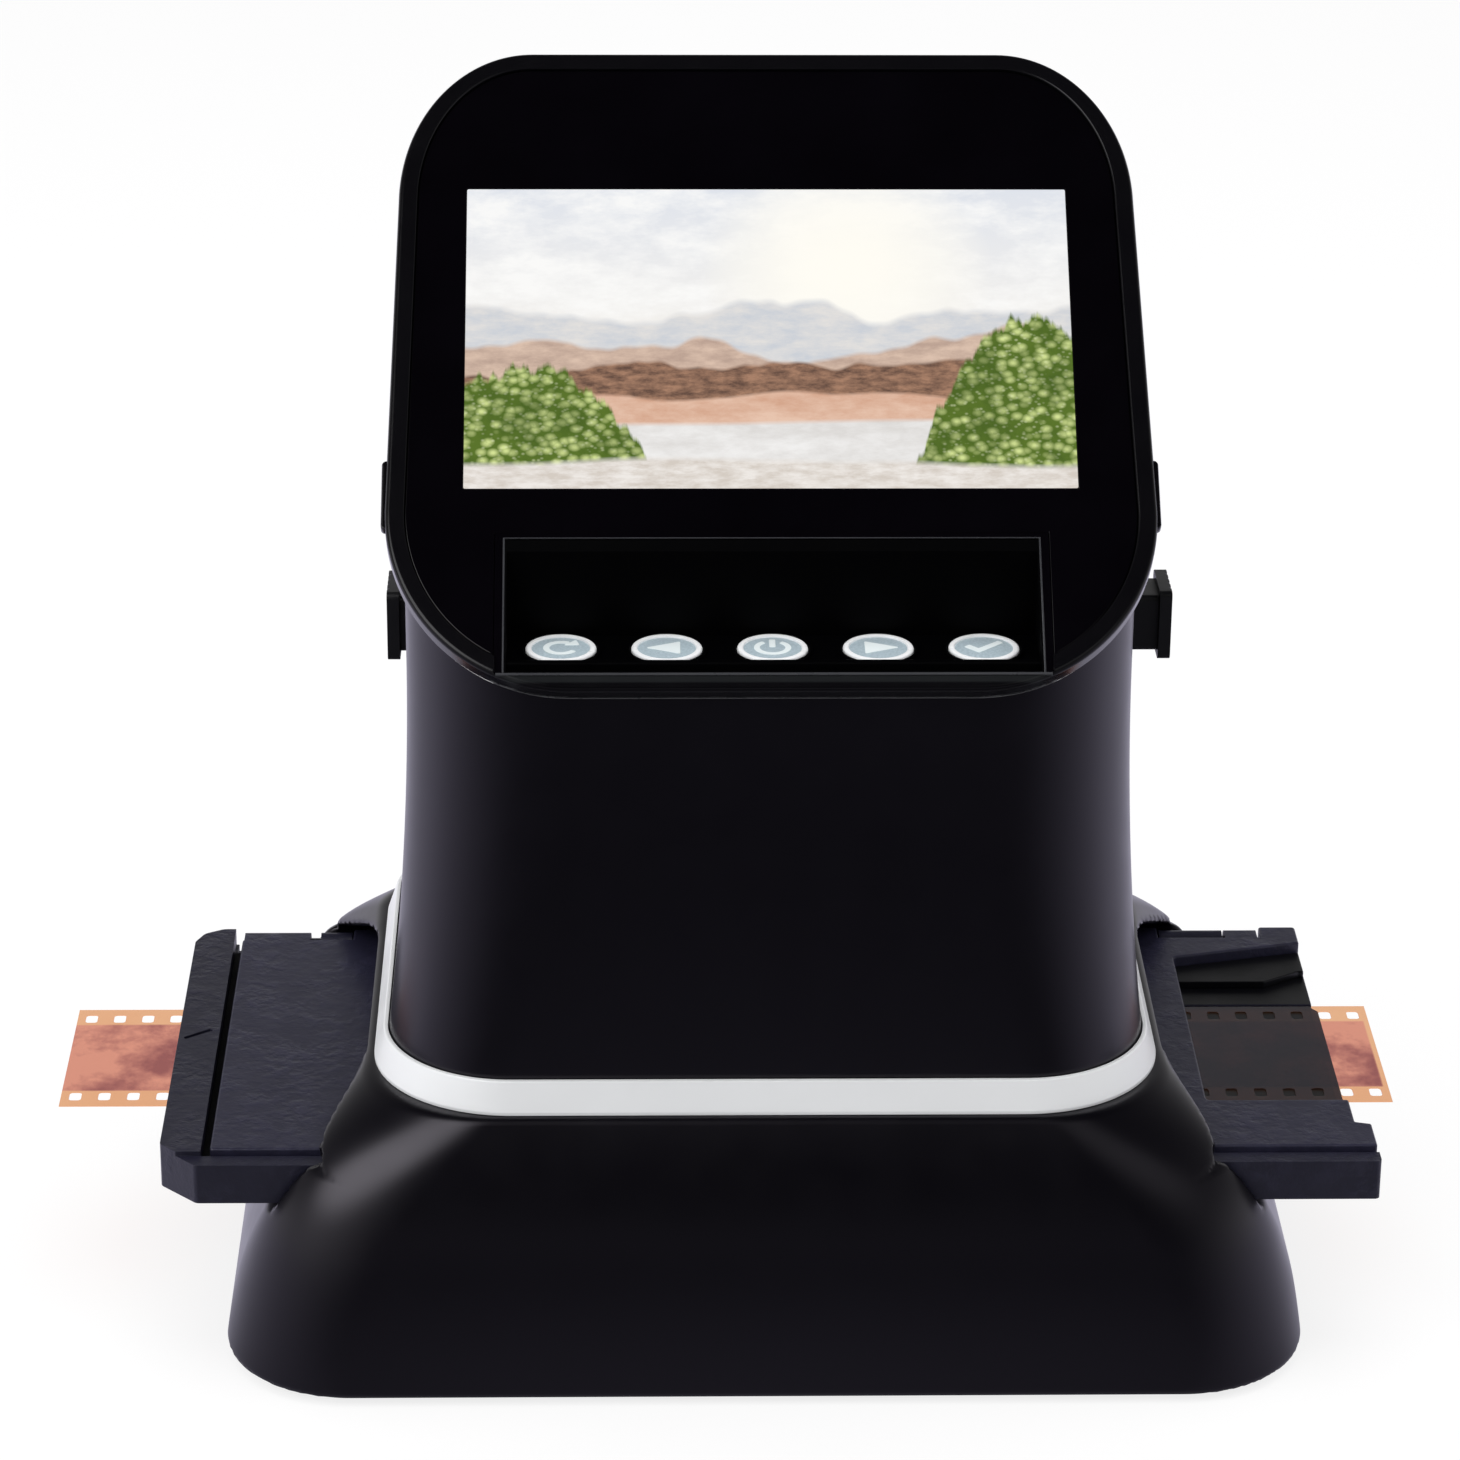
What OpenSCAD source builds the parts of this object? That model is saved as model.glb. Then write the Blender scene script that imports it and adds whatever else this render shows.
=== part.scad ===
// Desktop scanner for 35 mm film strips, with a tilted display on a hollow column.
// The film holder slides through a tunnel in the flared base; the light box is below it,
// and the lens, the lens slider and the image sensor look down on it from the column.
// Millimetres. Origin: centre of the footprint on the table. +X right, -Y front, +Z up.

/* [Base] */
// Length of the footprint, left to right
base_len = 174.8; // [168:0.2:184]
// Depth of the footprint, front to back
base_depth = 115; // [111:0.5:122]
// Corner radius of the footprint and of the skirt
base_corner = 21; // [19:0.5:24]
// Height of the skirt's top edge above the table
skirt_top = 45.8; // [45.2:0.2:48]
// Wall of the skirt and of the column shells
wall = 2.2; // [1.8:0.1:2.6]
// Width of the inward flange at the top of the skirt
flange_w = 12; // [10:0.5:14]
// Thickness of that flange
flange_t = 4; // [3:0.5:5]
// How far the rubber feet stand out below the skirt
foot_gap = 1; // [0.6:0.1:1.6]
// Diameter of a rubber foot
foot_d = 12; // [9:0.5:14]
// Thickness of the base plate
plate_t = 2.6; // [2.2:0.1:3.2]

/* [Band] */
// Height of the silver band between the skirt and the column
band_h = 5.4; // [4:0.2:7]
// How far the band's lower edge stands out from the column
band_flare = 2.5; // [1.6:0.1:3]
// How far its upper edge stands out from the column
band_lip = 0.9; // [0.6:0.1:1.4]

/* [Column] */
// Width of the column where it meets the band
column_w = 121.2; // [120:0.2:124]
// Distance of its front from the middle of the footprint
column_front = 43.4; // [42.6:0.2:44.4]
// Distance of its back from the middle of the footprint
column_back = 41; // [40.4:0.2:42]
// Corner radius of the column's foot
column_corner = 20; // [18:0.5:22]
// Height at which the side flare towards the foot begins
flare_z = 115; // [106:1:118]
// Distance behind the middle at which the front and rear shells meet
split_y = 22; // [20.5:0.5:24]

/* [Display head] */
// Lean of the display face from the vertical, in degrees
face_lean = 48.8; // [47:0.2:51]
// Height of the middle of the screen
screen_z = 160.2; // [159:0.2:164]
// Distance of the middle of the screen in front of the footprint's middle
screen_y = 2.2; // [1.6:0.2:2.8]
// Width of the face at its lower end
face_low_w = 119; // [118:0.2:121]
// Width of the face at its upper end
face_top_w = 116.6; // [115.4:0.2:118]
// Distance from the middle of the screen up to the top of the face
face_up = 52.2; // [50:0.2:55]
// Distance from the middle of the screen down to the lower lip
face_down = 61.7; // [61.2:0.1:62.6]
// Thickness of the bezel plate below the glass surface
bezel_t = 2.6; // [2.3:0.1:3.2]
// Width of the raised rim round the glass
rim_w = 3; // [2:0.2:4]
// How far the rim stands proud of the glass
rim_proud = 0.5; // [0.2:0.1:1]
// Thickness of the cover glass
glass_t = 1.3; // [0.8:0.1:1.5]
// Thickness of the silver trim under the bezel
trim_t = 1.4; // [0.8:0.1:2]
// How far the bezel overhangs the column
overhang = 2.8; // [2.4:0.1:3.2]
// Width of the lit picture area
screen_w = 95.04; // [92:0.1:97]
// Height of the lit picture area
screen_h = 53.86; // [52:0.1:55]
// Width of the display module's body
lcd_w = 105.5; // [102:0.5:106]
// Height of the display module's body
lcd_h = 66.6; // [62:0.2:67]
// Thickness of the display module
lcd_t = 3; // [2:0.2:4]

/* [Controls] */
// Width of the control recess
recess_w = 84.8; // [83:0.2:86]
// Distance from the middle of the screen down to the recess
recess_from = 34.8; // [34.6:0.1:35.6]
// Distance from the middle of the screen down to the recess's front edge
recess_to = 58.9; // [58.4:0.1:59.2]
// Height of the shelf that carries the buttons
shelf_z = 121.3; // [120.8:0.1:122]
// Thickness of the shelf and of the recess's walls
shelf_t = 1.5; // [1.2:0.1:1.8]
// Diameter of a button
button_d = 10.9; // [9.5:0.1:11.4]
// Distance from one button to the next
button_pitch = 16.2; // [15.4:0.1:16.4]
// How far a button stands proud of the shelf
button_proud = 0.8; // [0.7:0.1:1.4]
// Travel of a button
button_travel = 0.6; // [0.3:0.1:0.6]

/* [Lens slider] */
// How far the lens slider moves, and the distance between its two lenses
slider_travel = 5.5; // [5:0.1:5.8]
// Height of the middle of the slider
slider_z = 112.4; // [111.6:0.2:113]
// Depth of the slider's stem, front to back
stem_d = 8.8; // [7:0.2:10]
// Height of the slider's stem
stem_h = 9.4; // [8:0.2:10]
// Thickness of the finger plates at the ends of the slider
finger_t = 2; // [1.4:0.1:2.6]
// Bore of the two lens seats in the slider
slide_lens_d = 4.6; // [3.6:0.1:4.8]

/* [Film holder] */
// Reach of the holder to the left of the middle
holder_left = 97; // [92:0.5:100]
// Reach of the holder to the right of the middle
holder_right = 98; // [94:0.5:102]
// Depth of the holder, front to back
holder_depth = 85; // [82:0.5:86]
// Height of the holder's underside above the table
holder_bottom = 28.6; // [28:0.2:29.4]
// Height of the holder's top above the table
holder_top = 36.2; // [35.8:0.1:36.6]
// Height of the seam between the holder's frame and lid
seam_z = 33.2; // [32.8:0.1:33.6]
// Width of the film
film_w = 35; // [34.9:0.05:35.1]
// Thickness of the film
film_t = 0.14; // [0.12:0.01:0.18]
// Distance from one film perforation to the next
perf_pitch = 4.75; // [4.73:0.01:4.77]
// Number of perforations along the strip
perf_count = 46; // [44:1:48]
// Place of the film's middle, to the left of the holder's middle
film_offset = 5.9; // [4:0.1:8]
// Length of the scanning window, along the film
window_len = 38; // [36.5:0.5:40]
// Width of the scanning window, across the film
window_w = 25.6; // [24.6:0.2:26.6]

/* [Fits] */
// Gap round everything that slides
slide_gap = 0.3; // [0.25:0.05:0.4]
// Gap between fixed pieces that are set into one another
set_gap = 0.2; // [0.1:0.05:0.25]
// Radial gap between a screw or pin and its hole
hole_gap = 0.05; // [0.03:0.01:0.1]
// Diameter of the housing screws
screw_d = 3; // [2.6:0.1:3.2]
// Diameter of the small board and frame screws
small_screw_d = 2.2; // [1.8:0.1:2.4]

/* [Hidden] */

$fn = 48;
eps = 0.01;
far = 400;
corner_steps = 7;

// Levels of the skirt, from the table up
skirt_zs = [foot_gap, 6, 12, 18, 23, 28, 32, 35.5, 38.5, 41, 43.4, skirt_top];
flare_start = skirt_top + 0.8;
skirt_top_half = column_w / 2 + band_flare + 0.1;
skirt_top_front = column_front + band_flare + 0.4;
skirt_top_back = column_back + band_flare + 0.5;
// the skirt's corners are this much tighter beside the tunnel, so that its flanks stay broad
corner_tuck = 9;
// and the back corners at the foot of the column are this much tighter than the front ones
back_tuck = 8;

// Tunnel and holder
holder_y = holder_depth / 2;
tunnel_y = holder_y + slide_gap + set_gap;
tunnel_floor = holder_bottom - slide_gap - set_gap;
tunnel_shoulder = holder_top + slide_gap;
tunnel_roof = skirt_top - 1.2;
tunnel_roof_y = 26;
tunnel_ledge = 2.5;

// Guide floor and rails
guide_top = holder_bottom - slide_gap;
guide_t = 2.6;
guide_bottom = guide_top - guide_t;
guide_half = 60;
rail_half = 56;
rail_t = 2.4;
rail_top = holder_top + 0.2;

// Base plate, its posts and screws
plate_z = foot_gap;
plate_top = plate_z + plate_t;
plate_inset = wall + set_gap + 0.1;
foot_recess = 1.2;
foot_x = base_len / 2 - 16;
foot_y = base_depth / 2 - 16.5;
base_screw_x = 42;
base_screw_y = base_depth / 2 - 8.9;
boss_r = screw_d / 2 + 2;
head_r = screw_d / 2 + 1.25;
head_h = 1.8;
screw_r = screw_d / 2;
hole_r = screw_r + hole_gap;
head_hole_r = head_r + set_gap;
small_r = small_screw_d / 2;
small_hole_r = small_r + hole_gap;
small_head_r = small_r + 1;
small_head_h = 1.3;
guide_post_x = 52;
guide_post_y = 36;

// Light box stack
board_t = 1.6;
led_board_z = plate_top + 4;
led_h = 1;
led_size = 2.8;
box_wall = 2;
diffuser_t = 1.5;
diffuser_margin = 6;
diffuser_len = window_len + 2 * diffuser_margin;
diffuser_w = window_w + 2 * diffuser_margin;
box_len = diffuser_len + 2 * box_wall + 2 * set_gap;
box_w = diffuser_w + 2 * box_wall + 2 * set_gap;
box_bottom = led_board_z + board_t;
standoff_x = box_len / 2 - 3;
standoff_y = box_w / 2 - 3;

// Column
band_top = skirt_top + band_h;
face_y = -screen_y;
face_z = screen_z;
face_tilt = 90 - face_lean;
slope_y = sin(face_lean);
slope_z = cos(face_lean);
face_low_r = [28.5, 30.7];
face_top_r = [21, 27.4];
stack_t = bezel_t + trim_t;
neck_inset = overhang;
neck_front = face_y - (face_down - neck_inset) * slope_y + stack_t * slope_z;
neck_back = face_y + (face_up - neck_inset) * slope_y + stack_t * slope_z;
neck_front_r = [face_low_r.x - neck_inset, (face_low_r.y - neck_inset) * slope_y];
neck_back_r = [face_top_r.x - neck_inset, (face_top_r.y - neck_inset) * slope_y];
neck_front_w = face_low_w / 2 - neck_inset;
neck_back_w = face_top_w / 2 - neck_inset;
column_peak = face_z + face_up * slope_z + 10;
column_zs = [skirt_top, band_top, band_top + 5, band_top + 11, band_top + 19, band_top + 30,
    band_top + 45, flare_z, column_peak];

// Screws that hold the column down, and the two shells together
column_screw_x = 46;
column_screw_front = column_front - 6.4;
column_screw_back = column_back - 6.4;
column_boss_h = 14;
shell_screw_x = 42;
shell_screw_zs = [84, 150];
shell_boss_front = split_y - 14;
shell_head_y = split_y + 9;

// Ports on both sides of the column
port_z = 62;
port_y = 9;
port_recess_len = 20;
port_recess_h = 11;
port_face = 58.2;
port_pad = 56;
pcb_y = 11;
pcb_half = 54.4;
pcb_low = 50;
pcb_high = 77;
pcb_post = [34, 5.5];
usb = [7.5, 3.2, 9];
video = [7.5, 3.6, 11.2];
card = [26, 24, 2.6];
card_board_z = 58;
card_board_t = 1.6;
card_end = 38.4;

// Optical frame
optic_plate_z = 103;
optic_plate_t = 2.5;
optic_top = optic_plate_z + optic_plate_t;
optic_half = 51.4;
optic_y = 12.5;
optic_screw = [48.5, 9];
ledge_x = 44;
ledge_y = 15;
ledge_t = 2.6;
barrel_r = 7;
barrel_low = 90;
barrel_bore = 5;
glass_r = barrel_bore - hole_gap;
glass_h = 3;
rail_in = 8.3;
optic_rail_t = 2.8;
optic_rail_half = 26;
optic_rail_top = 118.2;
carriage_left = 14;
carriage_right = 19.5;
carriage_y = rail_in - slide_gap;
carriage_low = optic_top + slide_gap;
carriage_high = slider_z + stem_h / 2;
finger_gap_left = 1.8;
finger_left = neck_front_w + finger_gap_left;
finger_right = neck_front_w + slider_travel + 0.6;
finger_d = stem_d + 2.2;
finger_h = stem_h + 2.2;
shroud_h = 3;
shroud_half = rail_in + optic_rail_t;
sensor_board_z = optic_rail_top + shroud_h;
sensor_half = 13;

// Control panel and buttons
wall_y = -29.2;
button_y = -37.1;
button_r = button_d / 2;
button_top = shelf_z + button_proud;
shelf_low = shelf_z - shelf_t;
ear_h = 0.9;
ear_low = shelf_low - slide_gap - ear_h;
ear_reach = 1.2;
stem_drop = 1.6;
stem_r = 1.5;
switch_h = 1.9;
switch_top = ear_low - stem_drop - button_travel - slide_gap;
button_board_z = switch_top - switch_h - board_t;
post_front = -40;
post_back = -31.4;
post_r = 1.2;

// Holder details
handle_in = 90.2;
groove = 1;
lid_left = handle_in - groove;
lid_front = 38.4;
border_groove = 0.8;
border_top = holder_top - 0.8;
entry_x = 72;
lid_low = seam_z;
channel_depth = 0.4;
channel_half = film_w / 2 + 0.2;
film_z = seam_z - channel_depth + 0.1;
film_len = perf_count * perf_pitch;
chamfer = 6;
hinge_y = 40.5;
hinge_r = 1.7;
hinge_z = holder_top - hinge_r;
pin_r = 0.8;
knuckle_back = 38.3;
lid_knuckles = [[-88.6, -77.2], [81.8, 87.4]];
frame_knuckles = [[-75.4, -70], [70.4, 81.4]];
hinge_bays = [[-89.8, -69.8], [70.2, 88]];

// ---------- shared geometry ----------

// How far out the skirt reaches at a height, from 0 at its top to 1 at the table
function skirt_flare(z) =
    let (t = (flare_start - z) / (flare_start - foot_gap))
    0.28 * t + 0.72 * (1 - pow(1 - t, 2.9));

// Outline with elliptical corners, anticlockwise; front and back have their own widths and radii
function outline(front_w, back_w, front, back, front_r, back_r, inset = 0) = [
    for (q = [0:3])
        for (i = [0:corner_steps])
            let (
                a = 90 * (q + i / corner_steps),
                r = (q < 2 ? back_r : front_r) - [inset, inset],
                w = (q < 2 ? back_w : front_w) - inset,
                cx = (q == 0 || q == 3 ? 1 : -1) * (w - r.x),
                cy = q < 2 ? back - inset - r.y : front + inset + r.y
            )
            [cx + r.x * cos(a), cy + r.y * sin(a)]];

function at_z(points, z) = [for (p = points) [p.x, p.y, z]];

function skirt_outline(z, inset = 0) =
    let (
        f = skirt_flare(z),
        w = skirt_top_half + (base_len / 2 - skirt_top_half) * f,
        front = skirt_top_front + (base_depth / 2 - skirt_top_front) * f,
        back = skirt_top_back + (base_depth / 2 - skirt_top_back) * f,
        tuck = corner_tuck * sin(180 * pow(min(1, z / skirt_top), 2.4)),
        r = [base_corner, base_corner - tuck],
        less = back_tuck * pow(min(1, z / skirt_top), 2)
    )
    outline(w, w, -front, back, r, r - [less, less], inset);

// 0 in the straight neck of the column, 1 at its foot
function column_blend(z) = pow(max(0, min(1, (flare_z - z) / (flare_z - band_top))), 2);

function mix(a, b, t) = a + (b - a) * t;

function column_outline(z, inset = 0) =
    let (
        b = column_blend(z),
        foot_r = [column_corner, column_corner],
        back_foot_r = foot_r - [back_tuck, back_tuck]
    )
    outline(mix(neck_front_w, column_w / 2, b), mix(neck_back_w, column_w / 2, b),
        mix(neck_front, -column_front, b), mix(neck_back, column_back, b),
        mix(neck_front_r, foot_r, b), mix(neck_back_r, back_foot_r, b), inset);

// Outline of the display face, in the plane of the face
function face_outline(inset = 0) =
    outline(face_low_w / 2, face_top_w / 2, -face_down, face_up, face_low_r, face_top_r, inset);

// Skin through rings that all have the same number of points, closed at both ends
module loft(rings) {
    n = len(rings[0]);
    last = (len(rings) - 1) * n;
    polyhedron(
        points = [for (ring = rings) each ring],
        faces = concat(
            [[for (i = [0:n - 1]) i]],
            [[for (i = [n - 1:-1:0]) last + i]],
            [for (k = [0:len(rings) - 2])
                for (i = [0:n - 1])
                    [k * n + i, (k + 1) * n + i, (k + 1) * n + (i + 1) % n, k * n + (i + 1) % n]]));
}

// Places its children on the display face: x right, y up the slope, z out of the face
module on_face() {
    translate([0, face_y, face_z])
        rotate([face_tilt, 0, 0])
            children();
}

// Flat plate in the display face between two depths, with the face's own outline
module face_plate(inset, low, high) {
    translate([0, 0, low])
        linear_extrude(high - low)
            polygon(face_outline(inset));
}

// Room round the display module's body between two depths
module lcd_room(low, high) {
    block([-lcd_w / 2 - set_gap, -lcd_h / 2 - set_gap, low],
        [lcd_w / 2 + set_gap, lcd_h / 2 + set_gap, high]);
}

// Box given by its lowest and highest corners
module block(low, high) {
    translate(low)
        cube(high - low);
}

// Repeats its children at the four corners (+-x, +-y)
module four(x, y) {
    for (sx = [-1, 1])
        for (sy = [-1, 1])
            translate([sx * x, sy * y, 0])
                children();
}

// Pan-head screw standing on its head's underside, shank down
module screw(r, length, head_radius, head_height) {
    translate([0, 0, -length])
        cylinder(r = r, h = length + eps);
    cylinder(r = head_radius, h = head_height - 0.3);
    translate([0, 0, head_height - 0.3])
        cylinder(r1 = head_radius, r2 = head_radius - 0.3, h = 0.3);
}

// Screw with a cross recess in its head
module housing_screw(length) {
    difference() {
        screw(screw_r, length, head_r, head_h);
        for (a = [0, 90])
            rotate([0, 0, a])
                translate([-head_r * 0.55, -0.35, head_h - 0.9])
                    cube([head_r * 1.1, 0.7, 2]);
    }
}

module small_screw(length) {
    difference() {
        screw(small_r, length, small_head_r, small_head_h);
        translate([-small_head_r, -0.25, small_head_h - 0.5])
            cube([2 * small_head_r, 0.5, 1]);
    }
}

// ---------- base ----------

// Tunnel through both sides of the skirt, along X
module tunnel() {
    for (side = [0, 1])
        mirror([side, 0, 0])
            rotate([90, 0, 90])
                translate([0, 0, skirt_top_half - flange_w - 0.2])
                    linear_extrude(far)
                        polygon([[-tunnel_y, tunnel_floor], [tunnel_y, tunnel_floor],
                            [tunnel_y, tunnel_shoulder], [tunnel_y - tunnel_ledge, tunnel_shoulder],
                            [tunnel_roof_y, tunnel_roof], [-tunnel_roof_y, tunnel_roof],
                            [-tunnel_y + tunnel_ledge, tunnel_shoulder], [-tunnel_y, tunnel_shoulder]]);
}

module base_skirt() {
    flange_low = skirt_top - flange_t;
    inner_zs = [for (z = skirt_zs) if (z < flange_low - 1) z];
    color("#101014")
    difference() {
        union() {
            difference() {
                loft([for (z = skirt_zs) at_z(skirt_outline(z), z)]);
                loft(concat(
                    [at_z(skirt_outline(foot_gap, wall), foot_gap - 1)],
                    [for (z = inner_zs) at_z(skirt_outline(z, wall), z)],
                    [at_z(skirt_outline(flange_low, wall), flange_low)]));
            }
            intersection() {
                loft([for (z = skirt_zs) at_z(skirt_outline(z, wall / 2), z)]);
                four(base_screw_x, base_screw_y)
                    translate([0, 0, plate_top]) {
                        cylinder(r = boss_r, h = 30);
                        translate([-1, -8, 0])
                            cube([2, 16, 30]);
                    }
            }
        }
        translate([0, 0, flange_low - 1])
            linear_extrude(flange_t + 2)
                polygon(outline(skirt_top_half - flange_w, skirt_top_half - flange_w,
                    flange_w - skirt_top_front, skirt_top_back - flange_w, [1, 1], [1, 1]));
        tunnel();
        four(base_screw_x, base_screw_y)
            cylinder(r = hole_r, h = plate_top + 10);
        column_screw_places()
            translate([0, 0, flange_low - 1])
                cylinder(r = hole_r, h = flange_t + 2);
        // the holder's rails stand close to the bosses
        block([-guide_half - 1, -tunnel_y - rail_t, guide_bottom - 1],
            [guide_half + 1, tunnel_y + rail_t, rail_top + 1]);
    }
}

module column_screw_places() {
    for (sx = [-1, 1])
        for (y = [-column_screw_front, column_screw_back])
            translate([sx * column_screw_x, y, 0])
                children();
}

module base_plate() {
    color("#17171a")
    difference() {
        union() {
            translate([0, 0, plate_z])
                linear_extrude(plate_t)
                    polygon(skirt_outline(plate_top, plate_inset));
            four(guide_post_x, guide_post_y)
                translate([0, 0, plate_z])
                    cylinder(r = boss_r + 0.5, h = guide_bottom - plate_z);
            four(standoff_x, standoff_y)
                translate([0, 0, plate_z])
                    cylinder(r = 2.5, h = led_board_z - plate_z);
        }
        four(foot_x, foot_y)
            translate([0, 0, plate_z - 1])
                cylinder(r = foot_d / 2 + set_gap, h = foot_recess + 1);
        four(base_screw_x, base_screw_y) {
            cylinder(r = hole_r, h = plate_top + 1);
            cylinder(r = head_hole_r, h = plate_z + 1);
        }
        four(guide_post_x, guide_post_y)
            translate([0, 0, guide_bottom - 9])
                cylinder(r = small_hole_r, h = 20);
    }
}

module rubber_feet() {
    color("#202022")
    four(foot_x, foot_y) {
        translate([0, 0, 0.4])
            cylinder(r = foot_d / 2, h = plate_z + foot_recess - 0.4);
        cylinder(r1 = foot_d / 2 - 0.4, r2 = foot_d / 2, h = 0.4);
    }
}

module base_screws() {
    color("#8d9093")
    four(base_screw_x, base_screw_y)
        translate([0, 0, plate_z + 1])
            mirror([0, 0, 1])
                screw(screw_r, 9, head_r, 1);
}

module holder_guide() {
    color("#0c0c0e")
    difference() {
        union() {
            block([-guide_half, -tunnel_y - rail_t + 0.6, guide_bottom],
                [guide_half, tunnel_y + rail_t - 0.6, guide_top]);
            for (side = [0, 1])
                mirror([0, side, 0])
                    block([-rail_half, holder_y + slide_gap, guide_top - eps],
                        [rail_half, tunnel_y + rail_t - 0.6, rail_top]);
        }
        block([-window_len / 2 - 1, -window_w / 2 - 1, guide_bottom - 1],
            [window_len / 2 + 1, window_w / 2 + 1, guide_top + 1]);
        four(guide_post_x, guide_post_y) {
            translate([0, 0, guide_bottom - 1])
                cylinder(r = small_hole_r, h = guide_t + 2);
            translate([0, 0, guide_top - small_head_h - 0.1])
                cylinder(r = small_head_r + set_gap, h = 5);
        }
    }
}

module guide_screws() {
    color("#8d9093")
    four(guide_post_x, guide_post_y)
        translate([0, 0, guide_top - small_head_h - 0.1])
            small_screw(8);
}

module backlight_board() {
    color("#1f6a3a")
    block([-box_len / 2, -box_w / 2, led_board_z], [box_len / 2, box_w / 2, box_bottom]);
}

module backlight_leds() {
    color("#f4e9b0")
    for (i = [-1:1])
        for (j = [-1:1])
            translate([i * window_len / 3, j * window_w / 3, box_bottom + led_h / 2])
                cube([led_size, led_size, led_h], center = true);
}

module light_box() {
    color("#e9e9e6")
    difference() {
        block([-box_len / 2, -box_w / 2, box_bottom], [box_len / 2, box_w / 2, guide_bottom]);
        block([-window_len / 2 - 3, -window_w / 2 - 3, box_bottom - 1],
            [window_len / 2 + 3, window_w / 2 + 3, guide_bottom + 1]);
        block([-diffuser_len / 2 - set_gap, -diffuser_w / 2 - set_gap, guide_bottom - diffuser_t],
            [diffuser_len / 2 + set_gap, diffuser_w / 2 + set_gap, guide_bottom + 1]);
    }
}

module backlight_diffuser() {
    color("#f8f8f4")
    block([-diffuser_len / 2, -diffuser_w / 2, guide_bottom - diffuser_t],
        [diffuser_len / 2, diffuser_w / 2, guide_bottom]);
}

module silver_band() {
    color("#e8e9ea")
    difference() {
        loft([at_z(column_outline(skirt_top, -band_flare), skirt_top),
            at_z(column_outline(skirt_top, -band_flare), skirt_top + 0.6),
            at_z(column_outline(skirt_top, -band_lip), band_top)]);
        translate([0, 0, skirt_top - 1])
            linear_extrude(band_h + 2)
                polygon(column_outline(skirt_top, -set_gap));
    }
}

// ---------- column ----------

// Everything above the underside of the head's trim, and a little more when lifted
module above_head(depth) {
    on_face()
        translate([-far / 2, -far / 2, -depth])
            cube(far);
}

// Room that the control panel needs in the pieces round it
module panel_room(gap) {
    side = recess_w / 2 + gap;
    block([-side, face_y - face_down, shelf_low - gap], [side, wall_y + gap, face_z]);
    block([-side, -column_front + 0.8, ear_low - button_travel - gap],
        [side, wall_y + gap, shelf_z]);
}

// Slots in the side walls for the slider's stems
module stem_slots() {
    block([-far, -stem_d / 2 - slide_gap, slider_z - stem_h / 2 - slide_gap],
        [far, stem_d / 2 + slide_gap, slider_z + stem_h / 2 + slide_gap]);
}

// Rounded recess in both sides of the column, round the sockets
module port_recess() {
    for (sx = [-1, 1])
        translate([sx * port_face, port_y, port_z])
            rotate([0, sx * 90, 0])
                linear_extrude(10) {
                    for (sy = [-1, 1])
                        translate([0, sy * (port_recess_len - port_recess_h) / 2])
                            circle(r = port_recess_h / 2);
                    square([port_recess_h, port_recess_len - port_recess_h], center = true);
                }
}

// Screw tabs under the bezel: places in the plane of the face
lower_tab = [49, -38];
upper_tab = [33, 41];

module bezel_screw_places() {
    for (sx = [-1, 1])
        for (p = [lower_tab, upper_tab])
            translate([sx * p.x, p.y, 0])
                children();
}

// Bosses, ledges and tabs inside the column
module column_inside() {
    column_screw_places()
        translate([0, 0, skirt_top]) {
            cylinder(r = boss_r + 0.25, h = column_boss_h);
        }
    for (side = [0, 1])
        mirror([side, 0, 0]) {
            block([ledge_x, -ledge_y, optic_plate_z - ledge_t], [far / 2, ledge_y, optic_plate_z]);
            block([port_pad, port_y - port_recess_len / 2 - 1.6, port_z - port_recess_h / 2 - 1.6],
                [far / 2, port_y + port_recess_len / 2 + 1.6, port_z + port_recess_h / 2 + 1.6]);
            for (z = shell_screw_zs) {
                translate([shell_screw_x, shell_boss_front, z])
                    rotate([-90, 0, 0])
                        cylinder(r = boss_r + 0.2, h = far / 2);
                block([shell_screw_x, shell_boss_front, z - 1.2], [far / 2, split_y, z + 1.2]);
            }
        }
    on_face() {
        bezel_screw_places()
            translate([0, 0, -stack_t - 2.5])
                cylinder(r = small_r + 2, h = 2.5 + eps);
        for (sx = [-1, 1]) {
            mirror([sx < 0 ? 1 : 0, 0, 0])
                block([lower_tab.x, lower_tab.y - 3, -stack_t - 2.5],
                    [far / 2, lower_tab.y + 3, -stack_t + eps]);
            mirror([sx < 0 ? 1 : 0, 0, 0])
                block([upper_tab.x - 3, upper_tab.y, -stack_t - 2.5],
                    [upper_tab.x + 3, far / 2, -stack_t + eps]);
        }
    }
}

// Posts for the main board and a shelf for the card board, on the rear shell
module rear_posts() {
    four_posts()
        cylinder(r = small_r + 1.8, h = far / 2);
    block([-card.x / 2 - 4, pcb_y + board_t, card_board_z - 2.4],
        [card.x / 2 + 4, far / 2, card_board_z]);
}

// Places on the back of the main board, looking backwards
module four_posts() {
    for (sx = [-1, 1])
        for (z = [pcb_low + pcb_post.y, pcb_high - pcb_post.y])
            translate([sx * pcb_post.x, pcb_y + board_t, z])
                rotate([-90, 0, 0])
                    children();
}

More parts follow.
